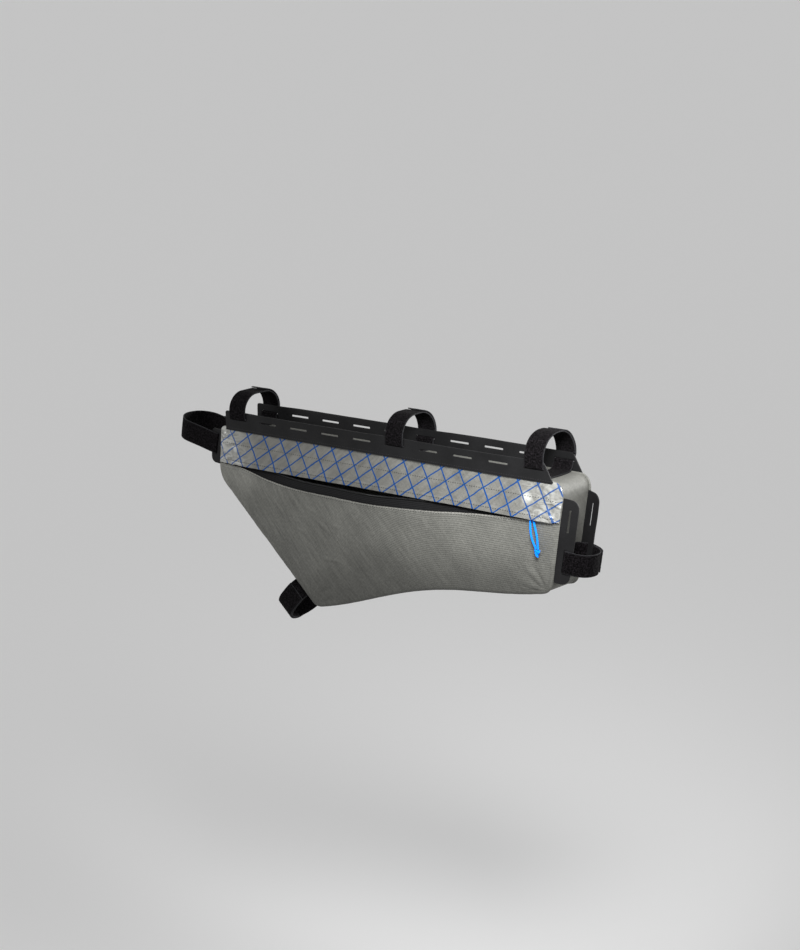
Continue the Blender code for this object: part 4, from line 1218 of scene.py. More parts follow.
class FRAMEBAG_OT_seams(bpy.types.Operator):
    """Folded seam allowances between the gusset and the sides"""

    bl_idname = "framebag.seams"
    bl_label = "Side seams"

    def execute(self, context):
        closed, total = closed_outline(SEAM_OVERHANG * 0.62)
        share = np.arange(900) / 900
        line = along_chain(closed, share)
        travel = share * total
        fold = 0.00016 * np.sin(travel / 0.0030 * 2 * math.pi) + 0.00012 * line_noise(travel / 0.012, 91)
        cloth = body_cloth()
        for end, side in SIDES:
            y = side * (half_width() - 0.0004 + fold * 0.6)
            path = np.stack((line[:, 0], y, line[:, 1]), axis=1)
            obj = tube(
                f"seam_{end}", path, SEAM_RADIUS + fold * 0.5, 8, closed=True,
                flat_place=lambda p: np.stack((p[:, 0], p[:, 1] + p[:, 2]), axis=1),
            )
            finish(obj, cloth, "body_nylon")
        return {"FINISHED"}


class FRAMEBAG_OT_lower_panel(bpy.types.Operator):
    """Body-cloth panel on the zip side, whose upper edge sags open as a lip"""

    bl_idname = "framebag.lower_panel"
    bl_label = "Lower panel"

    def execute(self, context):
        obj = side_panel("lower_panel", 300, 110, lower_panel_surface(), WALL)
        mark_hem(obj)
        finish(obj, body_cloth(), "body_nylon", "near_lower_panel")
        return {"FINISHED"}


def mark_hem(obj):
    """Keeps on each point how near it is to the lip's edge, as the attribute hem, the mask of the painted
    highlight along the lip's fold.
    """
    places = points_of(obj.data)
    lip = lip_line(np.linspace(0.02, 0.98, 200))
    below = np.interp(places[:, 0], lip[:, 0], lip[:, 1]) - places[:, 2]
    ends = ramp(places[:, 0] - lip[0, 0], 0.02) * ramp(lip[-1, 0] - places[:, 0], 0.02)
    keep_on_points(obj.data, "hem", ends * (1 - smooth_step((below - 0.0003) / 0.0008)))


class FRAMEBAG_OT_flap(bpy.types.Operator):
    """Laminate flap with a diamond grid, sewn along the top seam and hanging over the zip"""

    bl_idname = "framebag.flap"
    bl_label = "Flap"

    def execute(self, context):
        obj = side_panel("flap", 420, 48, flap_surface(), FLAP_WALL)
        finish(obj, grid_laminate(), "grid_laminate", "near_upper_panel")
        return {"FINISHED"}


class FRAMEBAG_OT_far_panel(bpy.types.Operator):
    """Plain side of body cloth, away from the zip"""

    bl_idname = "framebag.far_panel"
    bl_label = "Far panel"

    def execute(self, context):
        obj = side_panel("far_side_panel", 260, 110, far_panel_surface(), WALL)
        finish(obj, body_cloth(), "body_nylon", "far_panel")
        return {"FINISHED"}


def coil_level():
    """Height of the lower coil's centre where the lip is shut."""
    return -(sizes().flap_drop + FLAP_CLEARANCE) + TAPE_HEIGHT + COIL_DIAMETER / 2 + GAP


def zip_lines(count):
    """Rows of points along the zip, from front to rear: tape edges and coil centres."""
    inset = ZIP_END_INSET / sizes().top_length
    share = np.linspace(inset, 1 - inset, count)
    near = lower_panel_surface()
    one = np.ones_like(share)
    inward = np.array((0, GAP + TAPE_THICKNESS, 0))
    lip = near(share, one)
    tape_y = -(half_width() - TAPE_INSET)
    bulge = LIP_BULGE * smooth_table(LIP_AT, TAPE_BULGES, share)
    height = TAPE_HEIGHT * smooth_table(LIP_AT, TAPE_HEIGHTS, share)
    edge = np.stack((lip[:, 0], tape_y - bulge + TAPE_THICKNESS, lip[:, 2] + height), axis=1)
    up = edge - lip - inward
    up[:, 0] = 0
    up = unit(up)
    out = np.stack((up[:, 0] * 0, -up[:, 2], up[:, 1]), axis=1)
    past_coil = COIL_DIAMETER / 2 + GAP
    z_upper = coil_level() + COIL_DIAMETER + COIL_CLEARANCE
    z_bottom = z_upper + past_coil
    z_sewn = z_bottom + UPPER_TAPE_HEIGHT
    sewn = flap_surface()(share, one * (1 + z_sewn / sizes().flap_drop))
    return {
        "edge": edge,
        "lip": lip + inward,
        "tuck": near(share, one - TAPE_TUCK / LIP_CLOTH) + inward,
        "lower_coil": edge + up * past_coil + out * TAPE_THICKNESS / 2,
        "upper_coil": np.stack((lip[:, 0], one * (tape_y + TAPE_THICKNESS / 2), one * z_upper), axis=1),
        "bottom": np.stack((lip[:, 0], one * (tape_y + TAPE_THICKNESS), one * z_bottom), axis=1),
        "sewn": np.stack((lip[:, 0], sewn[:, 1] + 2 * GAP + TAPE_THICKNESS, one * z_sewn), axis=1),
    }


def tape_sheet(name, rows, material, node):
    """Tape along rows of points, the first row being its upper edge."""
    known = np.linspace(0, 1, len(rows[0]))

    def surface(share, height):
        placed = np.stack([resample(share, known, row) for row in rows])
        down = (1 - height) * (len(rows) - 1)
        i = np.clip(down.astype(int), 0, len(rows) - 2)
        t = (down - i)[:, None]
        every = np.arange(len(share))
        return placed[i, every] * (1 - t) + placed[i + 1, every] * t

    width = np.mean(np.linalg.norm(np.diff(np.stack(rows), axis=0), axis=2), axis=1).sum()
    flat = flat_strip(lengths_along(rows[0])[-1], width)
    obj = add_grid(name, len(rows[0]), 6 * (len(rows) - 1), surface, flat)
    thicken(obj, TAPE_THICKNESS * 0.8, 1.0)
    clean(obj)
    finish(obj, material, "zip_tape", node, angle=50)


def coil_helix(name, centre, material, node, hand):
    """Nylon coil: one thread wound along the tape's edge."""
    lengths = lengths_along(centre)
    count = int(lengths[-1] / COIL_PITCH * 10)
    at = np.linspace(0.0005, lengths[-1] - 0.0005, count)
    path = resample(at, lengths, centre)
    angle = at / COIL_PITCH * 2 * math.pi * hand
    reach = COIL_DIAMETER / 2 - COIL_WIRE_RADIUS
    path[:, 1] += reach * np.cos(angle) * 0.9
    path[:, 2] += reach * np.sin(angle) * 1.05
    obj = tube(name, path, COIL_WIRE_RADIUS, 5, guide=(0.15, 0.92, 0.35))
    finish(obj, material, "zip_coil", node, angle=70)


class FRAMEBAG_OT_zip(bpy.types.Operator):
    """Both tapes of the zip with their coils"""

    bl_idname = "framebag.zip"
    bl_label = "Zip"

    def execute(self, context):
        rows = zip_lines(360)
        tape, coil = zip_tape(), coil_nylon()
        tape_sheet("lip_tape", [rows["edge"], rows["lip"], rows["tuck"]], tape, "zip_tape_lower")
        tape_sheet("flap_tape", [rows["sewn"], rows["bottom"]], tape, "zip_tape_upper")
        coil_helix("lip_coil", rows["lower_coil"], coil, "zip_coil_lower", 1)
        coil_helix("flap_coil", rows["upper_coil"], coil, "zip_coil_upper", -1)
        return {"FINISHED"}


def slider_place():
    z = coil_level() + (COIL_DIAMETER + COIL_CLEARANCE) / 2
    y = -(half_width() - TAPE_INSET - TAPE_THICKNESS / 2 + COIL_DIAMETER / 2 + GAP)
    return np.array((sizes().top_length / 2 - SLIDER_FROM_REAR, y, z))


class FRAMEBAG_OT_slider(bpy.types.Operator):
    """Slider's front plate with the bridge that the cord hangs from"""

    bl_idname = "framebag.slider"
    bl_label = "Slider"

    def execute(self, context):
        place = slider_place()
        choose()
        middle = place - ACROSS * SLIDER_PLATE[1] / 2
        bpy.ops.mesh.primitive_cube_add(size=1.0, location=tuple(middle))
        plate = bpy.context.object
        plate.name = plate.data.name = "slider_plate"
        plate.scale = SLIDER_PLATE
        bpy.ops.object.transform_apply(location=True, rotation=True, scale=True)
        for polygon in plate.data.polygons:
            polygon.select = polygon.normal.y < -0.9
        bpy.ops.object.mode_set(mode="EDIT")
        bpy.ops.mesh.select_mode(type="FACE")
        bpy.ops.mesh.inset(thickness=SLIDER_RIM)
        bpy.ops.mesh.extrude_region_move(TRANSFORM_OT_translate={"value": (0, 0.0004, 0)})
        bpy.ops.object.mode_set(mode="OBJECT")
        soften_edges(plate, 0.00035, angle=30, segments=3)
        turn = np.linspace(0, math.pi, 17)
        arch = np.stack((-0.0030 * np.cos(turn), -0.0010 - 0.0022 * np.sin(turn), turn * 0 + 0.0006), axis=1)
        bridge = tube("slider_bridge", place + arch, BRIDGE_RADIUS, 12, guide=UP)
        finish(join(plate, bridge), coil_nylon(), "zip_coil", "zip_slider", angle=40)
        return {"FINISHED"}


class FRAMEBAG_OT_pull_cord(bpy.types.Operator):
    """Two strands of cord from the slider, with their knot and its short tails"""

    bl_idname = "framebag.pull_cord"
    bl_label = "Pull cord"

    def execute(self, context):
        braid = cord_braid()
        knot = cord_knot(braid)
        cord_strand("cord_strand_front", "pull_cord_front", 1, braid)
        cord_strand("cord_strand_rear", "pull_cord_rear", -1, braid)
        return {"FINISHED"}


def cord_strand(name, node, hand, material):
    """One strand along the cord's route; hand puts it in front of the other or behind."""
    start = slider_place()[0]
    top_z, end_z = CORD_ROUTE[0][2], CORD_ROUTE[-1][2]
    route = []
    for across, out, z in CORD_ROUTE:
        lean = CORD_LEAN * ((z - top_z) / (end_z - top_z)) ** 1.3
        route.append((start + across * hand + lean, -(half_width() + out), z))
    route = smooth_route(np.array(route), 4)
    curve = bpy.data.curves.new(name, "CURVE")
    curve.dimensions = "3D"
    curve.bevel_depth = sizes().cord_width / 2
    curve.bevel_resolution = 3
    curve.use_fill_caps = True
    spline = curve.splines.new("POLY")
    spline.points.add(len(route) - 1)
    for point, place in zip(spline.points, route):
        point.co = (*place, 1.0)
    obj = bpy.data.objects.new(name, curve)
    bpy.context.scene.collection.objects.link(obj)
    finish(obj, material, "pull_cord", node)


def smooth_route(points, steps):
    """Smooth curve through all the points."""
    ends = np.concatenate((points[:1] * 2 - points[1:2], points, points[-1:] * 2 - points[-2:-1]))
    result = []
    for a, b, c, d in zip(ends, ends[1:], ends[2:], ends[3:]):
        for t in np.arange(steps) / steps:
            bend = (2 * a - 5 * b + 4 * c - d) * t**2 + (3 * b - a - 3 * c + d) * t**3
            result.append(0.5 * (2 * b + (c - a) * t + bend))
    return np.array(result + [points[-1]])


def cord_knot(material):
    """Overhand knot, drawn tight: a small trefoil with two short cut tails."""
    _, out, z = CORD_ROUTE[-1]
    centre = np.array((slider_place()[0] + CORD_LEAN, -(half_width() + out), z - KNOT_DROP))
    angle = np.arange(72) / 72 * 2 * math.pi
    x = (np.sin(angle) + 2 * np.sin(2 * angle)) * 0.00100
    z = (np.cos(angle) - 2 * np.cos(2 * angle)) * 0.00072
    y = -np.sin(3 * angle) * 0.00090
    loop = centre + np.stack((x, y, z), axis=1)
    pieces = [tube("cord_knot", loop, KNOT_CORD_RADIUS, 12, closed=True)]
    t = np.linspace(0, 1, 10)
    for lean, drop in KNOT_TAILS:
        path = np.stack((lean * t**1.4 - 0.0001, -0.0003 - 0.0005 * t, -0.0006 - drop * t), axis=1)
        pieces.append(tube("cord_tail", centre + path, TAIL_RADIUS, 12))
    return finish(join(*pieces), material, "pull_cord", "pull_knot")


def rubber_plate(name, node, frame_of, outline, slots, bend, material, cell=0.0022):
    """Sheet of rubber cut to an outline, with slots, bent by bend(first, second) through its thickness."""
    origin, first, second, through = frame_of
    low, high = outline.min(axis=0) - 0.001, outline.max(axis=0) + 0.001
    span = high - low
    columns, rows = (max(4, int(v / cell)) for v in span)

    def level(share, height):
        return np.stack((low[0] + share * span[0], low[1] + height * span[1], share * 0), axis=1)

    obj = add_grid(name, columns, rows, level, flat_strip(*span))
    thicken(obj, SHEET, 0.0)
    cutters = [prism("outline_cutter", outline, 0.004)]
    half_long, half_short = sizes().strap_width / 2 + SLOT_PLAY_LONG, WEBBING / 2 + SLOT_PLAY_SHORT
    for middle, direction in slots:
        middle, direction = np.array(middle), np.array(direction)
        aside = np.array((-direction[1], direction[0]))
        corners = [
            (middle + direction * half_long * a + aside * half_short * b, SLOT_CORNER)
            for a, b in ((-1, -1), (1, -1), (1, 1), (-1, 1))
        ]
        cutters.append(prism("slot_cutter", rounded_polygon(corners, 0.002), 0.004))
    for i, cutter in enumerate(cutters):
        cut = obj.modifiers.new("Cut", "BOOLEAN")
        cut.operation = "DIFFERENCE" if i else "INTERSECT"
        cut.solver = "EXACT"
        cut.object = cutter
    apply_modifiers(obj)
    for cutter in cutters:
        bpy.data.objects.remove(cutter, do_unlink=True)
    soften_edges(obj, 0.00022, angle=50)
    p = points_of(obj.data)
    shift = bend(p[:, 0], p[:, 1])
    depth = SHEET / 2 + p[:, 2:3] + shift[:, None]
    put_points(obj.data, origin + p[:, :1] * first + p[:, 1:2] * second + depth * through)
    clean(obj)
    finish(obj, material, "rubber_sheet", node, angle=35)


def prism(name, outline, depth):
    """Upright block with the given outline, centred on the plane z = 0."""
    choose()
    bpy.ops.mesh.primitive_circle_add(vertices=len(outline), fill_type="NGON")
    obj = bpy.context.object
    obj.name = name
    put_points(obj.data, np.column_stack((outline, np.full(len(outline), -depth))))
    bpy.ops.object.mode_set(mode="EDIT")
    bpy.ops.mesh.select_all(action="SELECT")
    bpy.ops.mesh.extrude_region_move(TRANSFORM_OT_translate={"value": (0, 0, 2 * depth)})
    clean(obj)
    return obj


def slot_x(index):
    return SLOT_ROW_CENTRE + (index - (SLOT_COUNT - 1) / 2) * SLOT_PITCH


def edge_frame(corner, other, toe_in, side):
    """Frame of a flange beside an edge of the bag: down the edge, out of it and through the sheet."""
    x, z = unit(other - corner)
    down = np.array((x, 0.0, z))
    out = np.array((z, 0.0, -x)) if corner[0] < 0 else np.array((-z, 0.0, x))
    inward = -ACROSS * side
    across = out * math.cos(toe_in) + inward * math.sin(toe_in)
    through = inward * math.cos(toe_in) - out * math.sin(toe_in)
    origin = np.array((corner[0], side * (half_width() - GAP), corner[1]))
    return origin, down, across, through


class FRAMEBAG_OT_top_flanges(bpy.types.Operator):
    """Slotted strips beside the top tube"""

    bl_idname = "framebag.top_flanges"
    bl_label = "Top flanges"

    def execute(self, context):
        rubber = rubber_sheet()
        half_length = sizes().top_length / 2
        front, rear = TOP_FLANGE_FROM_FRONT - half_length, half_length - TOP_FLANGE_FROM_REAR
        outline = rounded_polygon([
            ((front, -TOP_FLANGE_TUCK), 0.0006), ((rear, -TOP_FLANGE_TUCK), 0.0015),
            ((rear - TOP_FLANGE_SLANT, TOP_FLANGE_HEIGHT), 0.0060), ((front, TOP_FLANGE_HEIGHT), 0.0025),
        ], 0.004)
        slots = [((slot_x(i), SLOT_HEIGHT), (1.0, 0.0)) for i in range(SLOT_COUNT)]
        for end, side in SIDES:

            def bend(x, z, side=side):
                free = np.ones_like(x)
                for strap in TOP_STRAPS:
                    free *= 1 - np.exp(-(((x - slot_x(strap["slot"])) / 0.030) ** 4))
                rise = ramp(z, TOP_FLANGE_HEIGHT) ** 1.8
                lean = 0.0019 * free * rise * (1 + 0.35 * line_noise(x / 0.05, 301 + side))
                return lean + 0.00025 * rise * free * value_noise(x / 0.016, z / 0.01, 305 + side)

            out = ACROSS * side
            frame_of = (out * (half_width() + WALL + GAP), REARWARD, UP, out)
            rubber_plate(f"top_strip_{end}", f"top_flange_{end}", frame_of, outline, slots, bend, rubber)
        return {"FINISHED"}


def end_sheet_outline(start, end, reach, start_radius, end_radius):
    return rounded_polygon([
        ((start, 0.0006), 0), ((start, reach), start_radius), ((end, reach), end_radius), ((end, 0.0006), 0),
    ], 0.002)


class FRAMEBAG_OT_end_flanges(bpy.types.Operator):
    """Sheets beside the seat tube and the head tube"""

    bl_idname = "framebag.end_flanges"
    bl_label = "End flanges"

    def execute(self, context):
        rubber = rubber_sheet()
        top_front, front, _, rear, top_rear = body_corners()
        rear_end = np.linalg.norm(rear - top_rear) - REAR_SHEET_FROM_CORNER
        front_end = np.linalg.norm(front - top_front) - FRONT_SHEET_FROM_CORNER
        rear_outline = end_sheet_outline(REAR_SHEET_START, rear_end, REAR_SHEET_REACH, 0.0090, 0.0090)
        front_outline = end_sheet_outline(FRONT_SHEET_START, front_end, FRONT_SHEET_REACH, 0.0035, 0.0070)
        rear_slots = [(slot, (1.0, 0.0)) for slot in REAR_SHEET_SLOTS]
        turn = HEAD_TUBE_LEAN - FRONT_LEAN
        front_slots = [(FRONT_SHEET_SLOT, (math.cos(turn), math.sin(turn)))]
        for end, side in SIDES:

            def wavy(down, out, side=side):
                away = 1 - np.exp(-(((down - REAR_SHEET_SLOTS[1][0]) / 0.02) ** 4))
                return 0.0005 * away * (out / REAR_SHEET_REACH) ** 2 * line_noise(down / 0.02, 320 + side)

            rubber_plate(
                f"rear_sheet_{end}", f"rear_flange_{end}", edge_frame(top_rear, rear, REAR_TOE_IN, side),
                rear_outline, rear_slots, wavy, rubber, 0.0018,
            )
        for end, side in SIDES:
            rubber_plate(
                f"front_sheet_{end}", f"front_flange_{end}", edge_frame(top_front, front, 0.0, side),
                front_outline, front_slots, lambda down, out: down * 0, rubber, 0.0018,
            )
        return {"FINISHED"}


def slotted_ring(reach, reach_radius, slot_y, toe_in, inner, inner_radius):
    """Loop through a pair of flanges at its slots, as (reach, y), the near side being -y."""
    step = SHEET / 2 + GAP + WEBBING / 2
    normal = np.array((math.sin(toe_in), math.cos(toe_in)))
    outside, inside = (np.array((0.0, slot_y)) + normal * step * side for side in (1, -1))
    arch = np.array((reach, outside[1] - (reach - outside[0]) * math.tan(toe_in)))
    half = [(arch, reach_radius), (outside, TURN_RADIUS), (inside, TURN_RADIUS), (inner, inner_radius)]
    near = [((p[0], -p[1]), r) for p, r in half]
    return rounded_polygon(near + half[::-1], 0.0012)


def lapped_path(ring, start, tail):
    """A ring opened nearest to start and run on over its own beginning, with its outward directions."""
    first = int(np.argmin(np.linalg.norm(ring - start, axis=1)))
    lap = np.concatenate((ring[first:], ring[:first], ring[first:first + 1]))
    loop = lengths_along(lap)[-1]
    path = np.concatenate((lap, lap[1:]))
    lengths = lengths_along(path)
    kept = path[lengths <= loop + tail]
    lengths = lengths[:len(kept)]
    along = np.gradient(kept, axis=0)
    along[0] = kept[1] - ring[first - 1]
    along = unit(along)
    out = np.stack((-along[:, 1], along[:, 0]), axis=1)
    climb = 0.0056
    lift = (WEBBING + GAP) * smooth_step((lengths - loop + climb) / climb)
    return kept + out * lift[:, None], out, lengths


def webbing_strap(node, ring, start, tail, frame_of, material, seed):
    """Strap of webbing along a loop; its width lies along the frame's last direction."""
    origin, reach, along = frame_of
    path, out, lengths = lapped_path(ring, start, tail)
    total = lengths[-1]
    width = sizes().strap_width

    def surface(share, height):
        at = share * total
        across = (height - 0.5) * width
        rim = np.abs(height - 0.5) * 2
        fuzz = 0.00014 * value_noise(at / 0.0011, across / 0.0011, seed) * (rim < 0.93)
        wave = 0.00012 * value_noise(at / 0.012, across / 0.010, seed + 1)
        p = resample(at, lengths, path) + resample(at, lengths, out) * (fuzz + wave)[:, None]
        across = across + 0.00018 * line_noise(at / 0.009, seed + 2) * rim
        return origin + p[:, :1] * reach + p[:, 1:] * ACROSS + across[:, None] * along

    name = node.replace("strap", "webbing")
    obj = add_grid(name, int(total / 0.00085), 30, surface, flat_strip(total, width, 0.5))
    mark_rim(obj, total, width)
    thicken(obj, WEBBING - 0.0003, 0.0)
    soften_edges(obj, 0.00035, angle=60)
    clean(obj)
    finish(obj, material, "loop_webbing", node)


def mark_rim(obj, length, width):
    """Keeps on each point how near it is to the webbing's edge or cut end, as the attribute rim."""
    mesh = obj.data
    flat = np.empty(len(mesh.loops) * 2)
    mesh.uv_layers[0].data.foreach_get("uv", flat)
    along, across = flat.reshape(-1, 2).T
    inside = np.minimum(np.minimum(along, length - along), width / 2 - np.abs(across))
    near = np.empty(len(mesh.vertices))
    near[points_of_loops(mesh)] = 1 - smooth_step((inside - 0.0003) / 0.0007)
    keep_on_points(mesh, "rim", near)


class FRAMEBAG_OT_straps(bpy.types.Operator):
    """Hook-and-loop straps round the four tubes, and the keeper of the lowest one"""

    bl_idname = "framebag.straps"
    bl_label = "Straps"

    def execute(self, context):
        pile = loop_webbing()
        top_straps(pile)
        head_tube_strap(pile)
        seat_tube_strap(pile)
        down_tube_strap(pile)
        return {"FINISHED"}


def top_straps(pile):
    face = half_width() + WALL + GAP
    slot_y = face + SHEET / 2
    inner = (-TOP_LOOP_INNER_DROP, face - GAP - WEBBING / 2)
    for strap in TOP_STRAPS:
        radius = strap["reach"] - (TOP_FLANGE_HEIGHT - SLOT_HEIGHT) - GAP
        ring = slotted_ring(strap["reach"], radius, slot_y, 0.0, inner, TOP_LOOP_INNER_RADIUS)
        frame_of = (np.array((slot_x(strap["slot"]), 0, SLOT_HEIGHT)), UP, REARWARD)
        start = (STRAP_START, slot_y)
        webbing_strap(strap["node"], ring, start, STRAP_LAP, frame_of, pile, strap["seed"])


def head_tube_strap(pile):
    top_front, front = body_corners()[:2]
    origin, down, across, _ = edge_frame(top_front, front, 0.0, NEAR)
    slot = origin + down * FRONT_SHEET_SLOT[0] + across * FRONT_SHEET_SLOT[1]
    slot[1] = 0
    forward = np.array((-math.cos(HEAD_TUBE_LEAN), 0, math.sin(HEAD_TUBE_LEAN)))
    along = np.array((math.sin(HEAD_TUBE_LEAN), 0, math.cos(HEAD_TUBE_LEAN)))
    slot_y = half_width() - GAP - SHEET / 2
    inner = (-HEAD_LOOP_INNER_DROP, slot_y - SHEET / 2 - GAP - WEBBING / 2)
    ring = slotted_ring(HEAD_LOOP_REACH, HEAD_LOOP_RADIUS, slot_y, 0.0, inner, HEAD_LOOP_INNER_RADIUS)
    start = (STRAP_START, slot_y)
    webbing_strap("head_tube_strap", ring, start, STRAP_LAP, (slot, forward, along), pile, 17)


def seat_tube_strap(pile):
    rear, top_rear = body_corners()[3:]
    origin, down, across, through = edge_frame(top_rear, rear, REAR_TOE_IN, FAR)
    slot_down, slot_out = REAR_SHEET_SLOTS[1]
    slot = origin + down * slot_down + across * slot_out + through * SHEET / 2
    slot_y = slot[1]
    slot[1] = 0
    rearward = np.array((-down[2], 0, down[0]))
    clear = slot_out * math.cos(REAR_TOE_IN) - SHEET / 2 * math.sin(REAR_TOE_IN)
    inner = (GAP + WEBBING / 2 - clear, SEAT_LOOP_INNER_Y)
    ring = slotted_ring(
        SEAT_LOOP_REACH, SEAT_LOOP_RADIUS, slot_y, REAR_TOE_IN, inner, SEAT_LOOP_INNER_RADIUS
    )
    start = (STRAP_START, slot_y)
    webbing_strap("seat_tube_strap", ring, start, SEAT_STRAP_LAP, (slot, rearward, -down), pile, 23)


def down_tube_strap(pile):
    """Strap round the down tube, and the keeper that holds it to the bag's lower side."""
    front, bottom = body_corners()[1:3]
    slope = unit(bottom - front)
    place = bottom - slope * DOWN_STRAP_FROM_CORNER
    origin = np.array((place[0], 0.0, place[1]))
    along = np.array((slope[0], 0.0, slope[1]))
    out = np.array((slope[1], 0.0, -slope[0]))
    bag_side = GAP + WEBBING / 2
    keeper_inner = bag_side + WEBBING / 2 + GAP
    half = DOWN_TUBE_RADIUS + WEBBING / 2
    reach = keeper_inner + SHEET + 2 * DOWN_TUBE_RADIUS + WEBBING / 2
    ring = rounded_polygon([
        ((reach, -half), half * 0.98), ((bag_side, -half), DOWN_LOOP_INNER_RADIUS),
        ((bag_side, half), DOWN_LOOP_INNER_RADIUS), ((reach, half), half * 0.98),
    ], 0.0012)
    tail = reach - half - 0.0100 + half * math.pi / 2
    webbing_strap("down_tube_strap", ring, (reach, 0.0), tail, (origin, out, along), pile, 29)
    half_span = sizes().strap_width / 2 + SLOT_PLAY_LONG
    rise = [(half_span + KEEPER_FOOT, GAP), (half_span + SHEET, GAP * 2), (half_span, keeper_inner)]
    profile = np.array([(-x, z) for x, z in rise] + rise[::-1])

    def surface(share, height):
        p = along_chain(profile, share)
        y = (0.5 - height) * KEEPER_WIDTH
        return origin + p[:, :1] * along + p[:, 1:] * out + y[:, None] * ACROSS

    flat = flat_strip(lengths_along(profile)[-1], KEEPER_WIDTH)
    obj = add_grid("webbing_keeper", 80, 16, surface, flat)
    thicken(obj, KEEPER_WALL, 1.0)
    clean(obj)
    finish(obj, zip_tape(), "rubber_sheet", "down_tube_keeper", angle=40)


class FRAMEBAG_OT_stitching(bpy.types.Operator):
    """Rows of stitches on the flap, the lip and the flanges"""

    bl_idname = "framebag.stitching"
    bl_label = "Stitching"

    def execute(self, context):
        s = sizes()
        grey = sewing_thread("grey_thread", colours().thread)
        black = sewing_thread("black_thread", BLACK_THREAD)
        flap, near = flap_surface(), lower_panel_surface()
        frames = []
        share = np.linspace(0.012, 0.988, 600)
        for drop in (STITCH_FROM_FLAP_SEAM, s.flap_drop - STITCH_FROM_FLAP_EDGE):
            height = 1 - drop / s.flap_drop
            frames += stitch_row(flap, share, height, FLAP_WALL + 0.00004, STITCH_PITCH, 0.00066)
        add_stitches("flap_stitches", frames, grey, "grid_laminate")
        share = np.linspace(0.02, 0.985, 700)
        height = 1 - STITCH_FROM_LIP / LIP_CLOTH
        frames = stitch_row(near, share, height, WALL + 0.00003, STITCH_PITCH, 0.00072)
        add_stitches("lip_stitches", frames, grey, "body_nylon")
        frames = []
        x = np.linspace(-s.top_length / 2 + 0.0100, s.top_length / 2 - 0.0130, 500)
        for _, side in SIDES:
            face = side * (half_width() + WALL + GAP + SHEET + 0.00002)
            points = np.stack((x, x * 0 + face, x * 0 + 0.0012), axis=1)
            frames += stitches_on(points, np.tile(ACROSS * side, (len(x), 1)), FLANGE_STITCH_PITCH, 0.00038)
        add_stitches("flange_stitches", frames, black, "rubber_sheet")
        return {"FINISHED"}


class FRAMEBAG_OT_stage(bpy.types.Operator):
    """Pale floor, soft lights and the camera"""

    bl_idname = "framebag.stage"
    bl_label = "Stage"

    def execute(self, context):
        stage = context.scene.framebag_stage
        context.scene.view_settings.view_transform = "Standard"
        choose()
        bpy.ops.mesh.primitive_plane_add(size=FLOOR_SIZE, location=(0, 0, FLOOR_LEVEL))
        floor = bpy.context.object
        floor.name = "floor"
        floor.data.materials.append(Material("pale_floor", roughness=0.9, colour=stage.floor).material)
        world = bpy.data.worlds.new("soft_sky")
        context.scene.world = world
        world.use_nodes = True
        sky = world.node_tree.nodes["Background"]
        sky.inputs["Color"].default_value = (1.0, 1.0, 1.0, 1.0)
        nodes = Nodes(world.node_tree)
        seen = nodes.add("LightPath", output="Is Camera Ray")
        nodes.put(nodes.scaled(seen, stage.sky * (HORIZON - 1.0), stage.sky), sky.inputs["Strength"])
        for name, place, target, size, spread in LIGHTS:
            add_light(name, place, target, size, spread, getattr(stage, name))
        add_camera()
        return {"FINISHED"}


def add_light(name, place, target, size, spread, power):
    data = bpy.data.lights.new(name, "AREA")
    data.shape = "DISK"
    data.size = size
    data.energy = power
    data.spread = math.radians(spread)
    lamp = bpy.data.objects.new(name, data)
    bpy.context.scene.collection.objects.link(lamp)
    lamp.location = place
    aim = Vector(target) - Vector(place)
    lamp.rotation_euler = aim.to_track_quat("-Z", "Y").to_euler()
    lamp.visible_camera = False


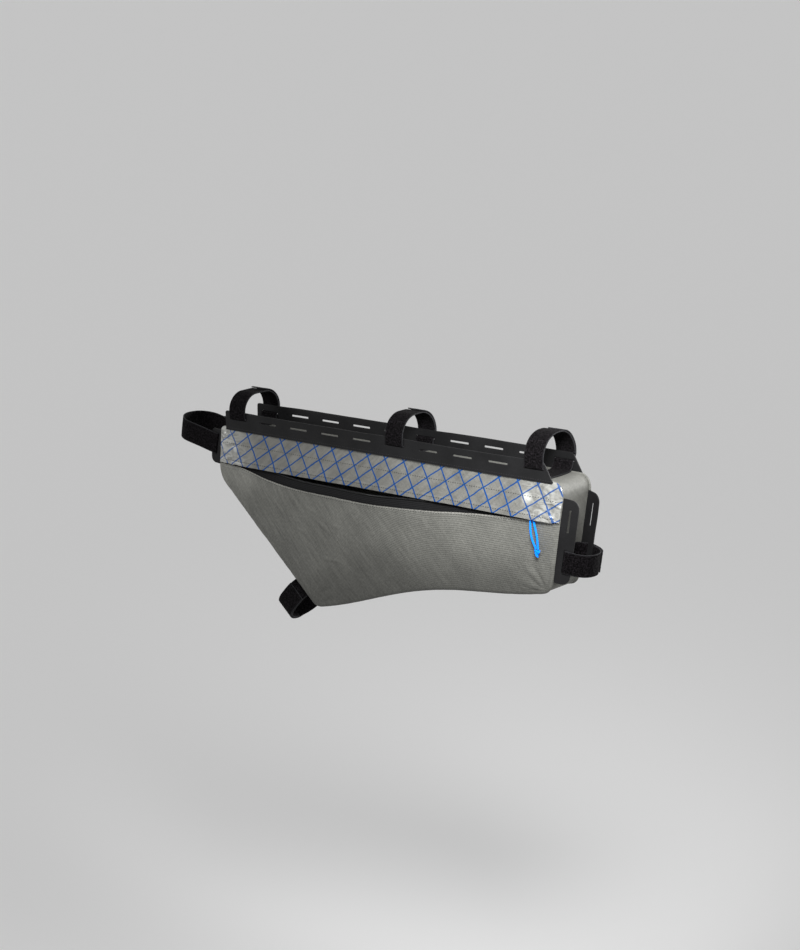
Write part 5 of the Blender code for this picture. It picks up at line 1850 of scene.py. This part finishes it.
def add_camera():
    back = Vector(CAMERA_BACK).normalized()
    right = Vector(CAMERA_UP).cross(back).normalized()
    up = back.cross(right)
    data = bpy.data.cameras.new("camera")
    data.sensor_fit = "HORIZONTAL"
    data.sensor_width = 36.0
    data.lens = CAMERA_LENS
    data.shift_y = CAMERA_SHIFT
    camera = bpy.data.objects.new("camera", data)
    bpy.context.scene.collection.objects.link(camera)
    turn = Matrix((right, up, back)).transposed()
    camera.matrix_world = Matrix.Translation(CAMERA_PLACE) @ turn.to_4x4()
    bpy.context.scene.camera = camera


class FRAMEBAG_PT_panel(bpy.types.Panel):
    """Sidebar panel with the bag's pieces, sizes and colours"""

    bl_idname = "FRAMEBAG_PT_panel"
    bl_label = "Frame Bag"
    bl_space_type = "VIEW_3D"
    bl_region_type = "UI"
    bl_category = "Frame Bag"

    def draw(self, context):
        for operator in PIECES:
            self.layout.operator(operator.bl_idname)
        for group in VALUES:
            box = self.layout.box()
            values = getattr(context.scene, group)
            for name in values.bl_rna.properties.keys():
                if name not in ("rna_type", "name"):
                    box.prop(values, name)


PIECES = (
    FRAMEBAG_OT_stage,
    FRAMEBAG_OT_pull_cord,
    FRAMEBAG_OT_gusset,
    FRAMEBAG_OT_seams,
    FRAMEBAG_OT_lower_panel,
    FRAMEBAG_OT_flap,
    FRAMEBAG_OT_far_panel,
    FRAMEBAG_OT_zip,
    FRAMEBAG_OT_slider,
    FRAMEBAG_OT_top_flanges,
    FRAMEBAG_OT_end_flanges,
    FRAMEBAG_OT_straps,
    FRAMEBAG_OT_stitching,
)
VALUES = {"framebag_sizes": BagSizes, "framebag_colours": BagColours, "framebag_stage": StageLook}
CLASSES = (*VALUES.values(), *PIECES, FRAMEBAG_PT_panel)


def register():
    for item in CLASSES:
        bpy.utils.register_class(item)
    for name, group in VALUES.items():
        setattr(bpy.types.Scene, name, bpy.props.PointerProperty(type=group))


def unregister():
    for name in VALUES:
        delattr(bpy.types.Scene, name)
    for item in reversed(CLASSES):
        bpy.utils.unregister_class(item)


def main():
    register()
    for piece in PIECES:
        group, name = piece.bl_idname.split(".")
        getattr(getattr(bpy.ops, group), name)()


if __name__ == "__main__":
    main()
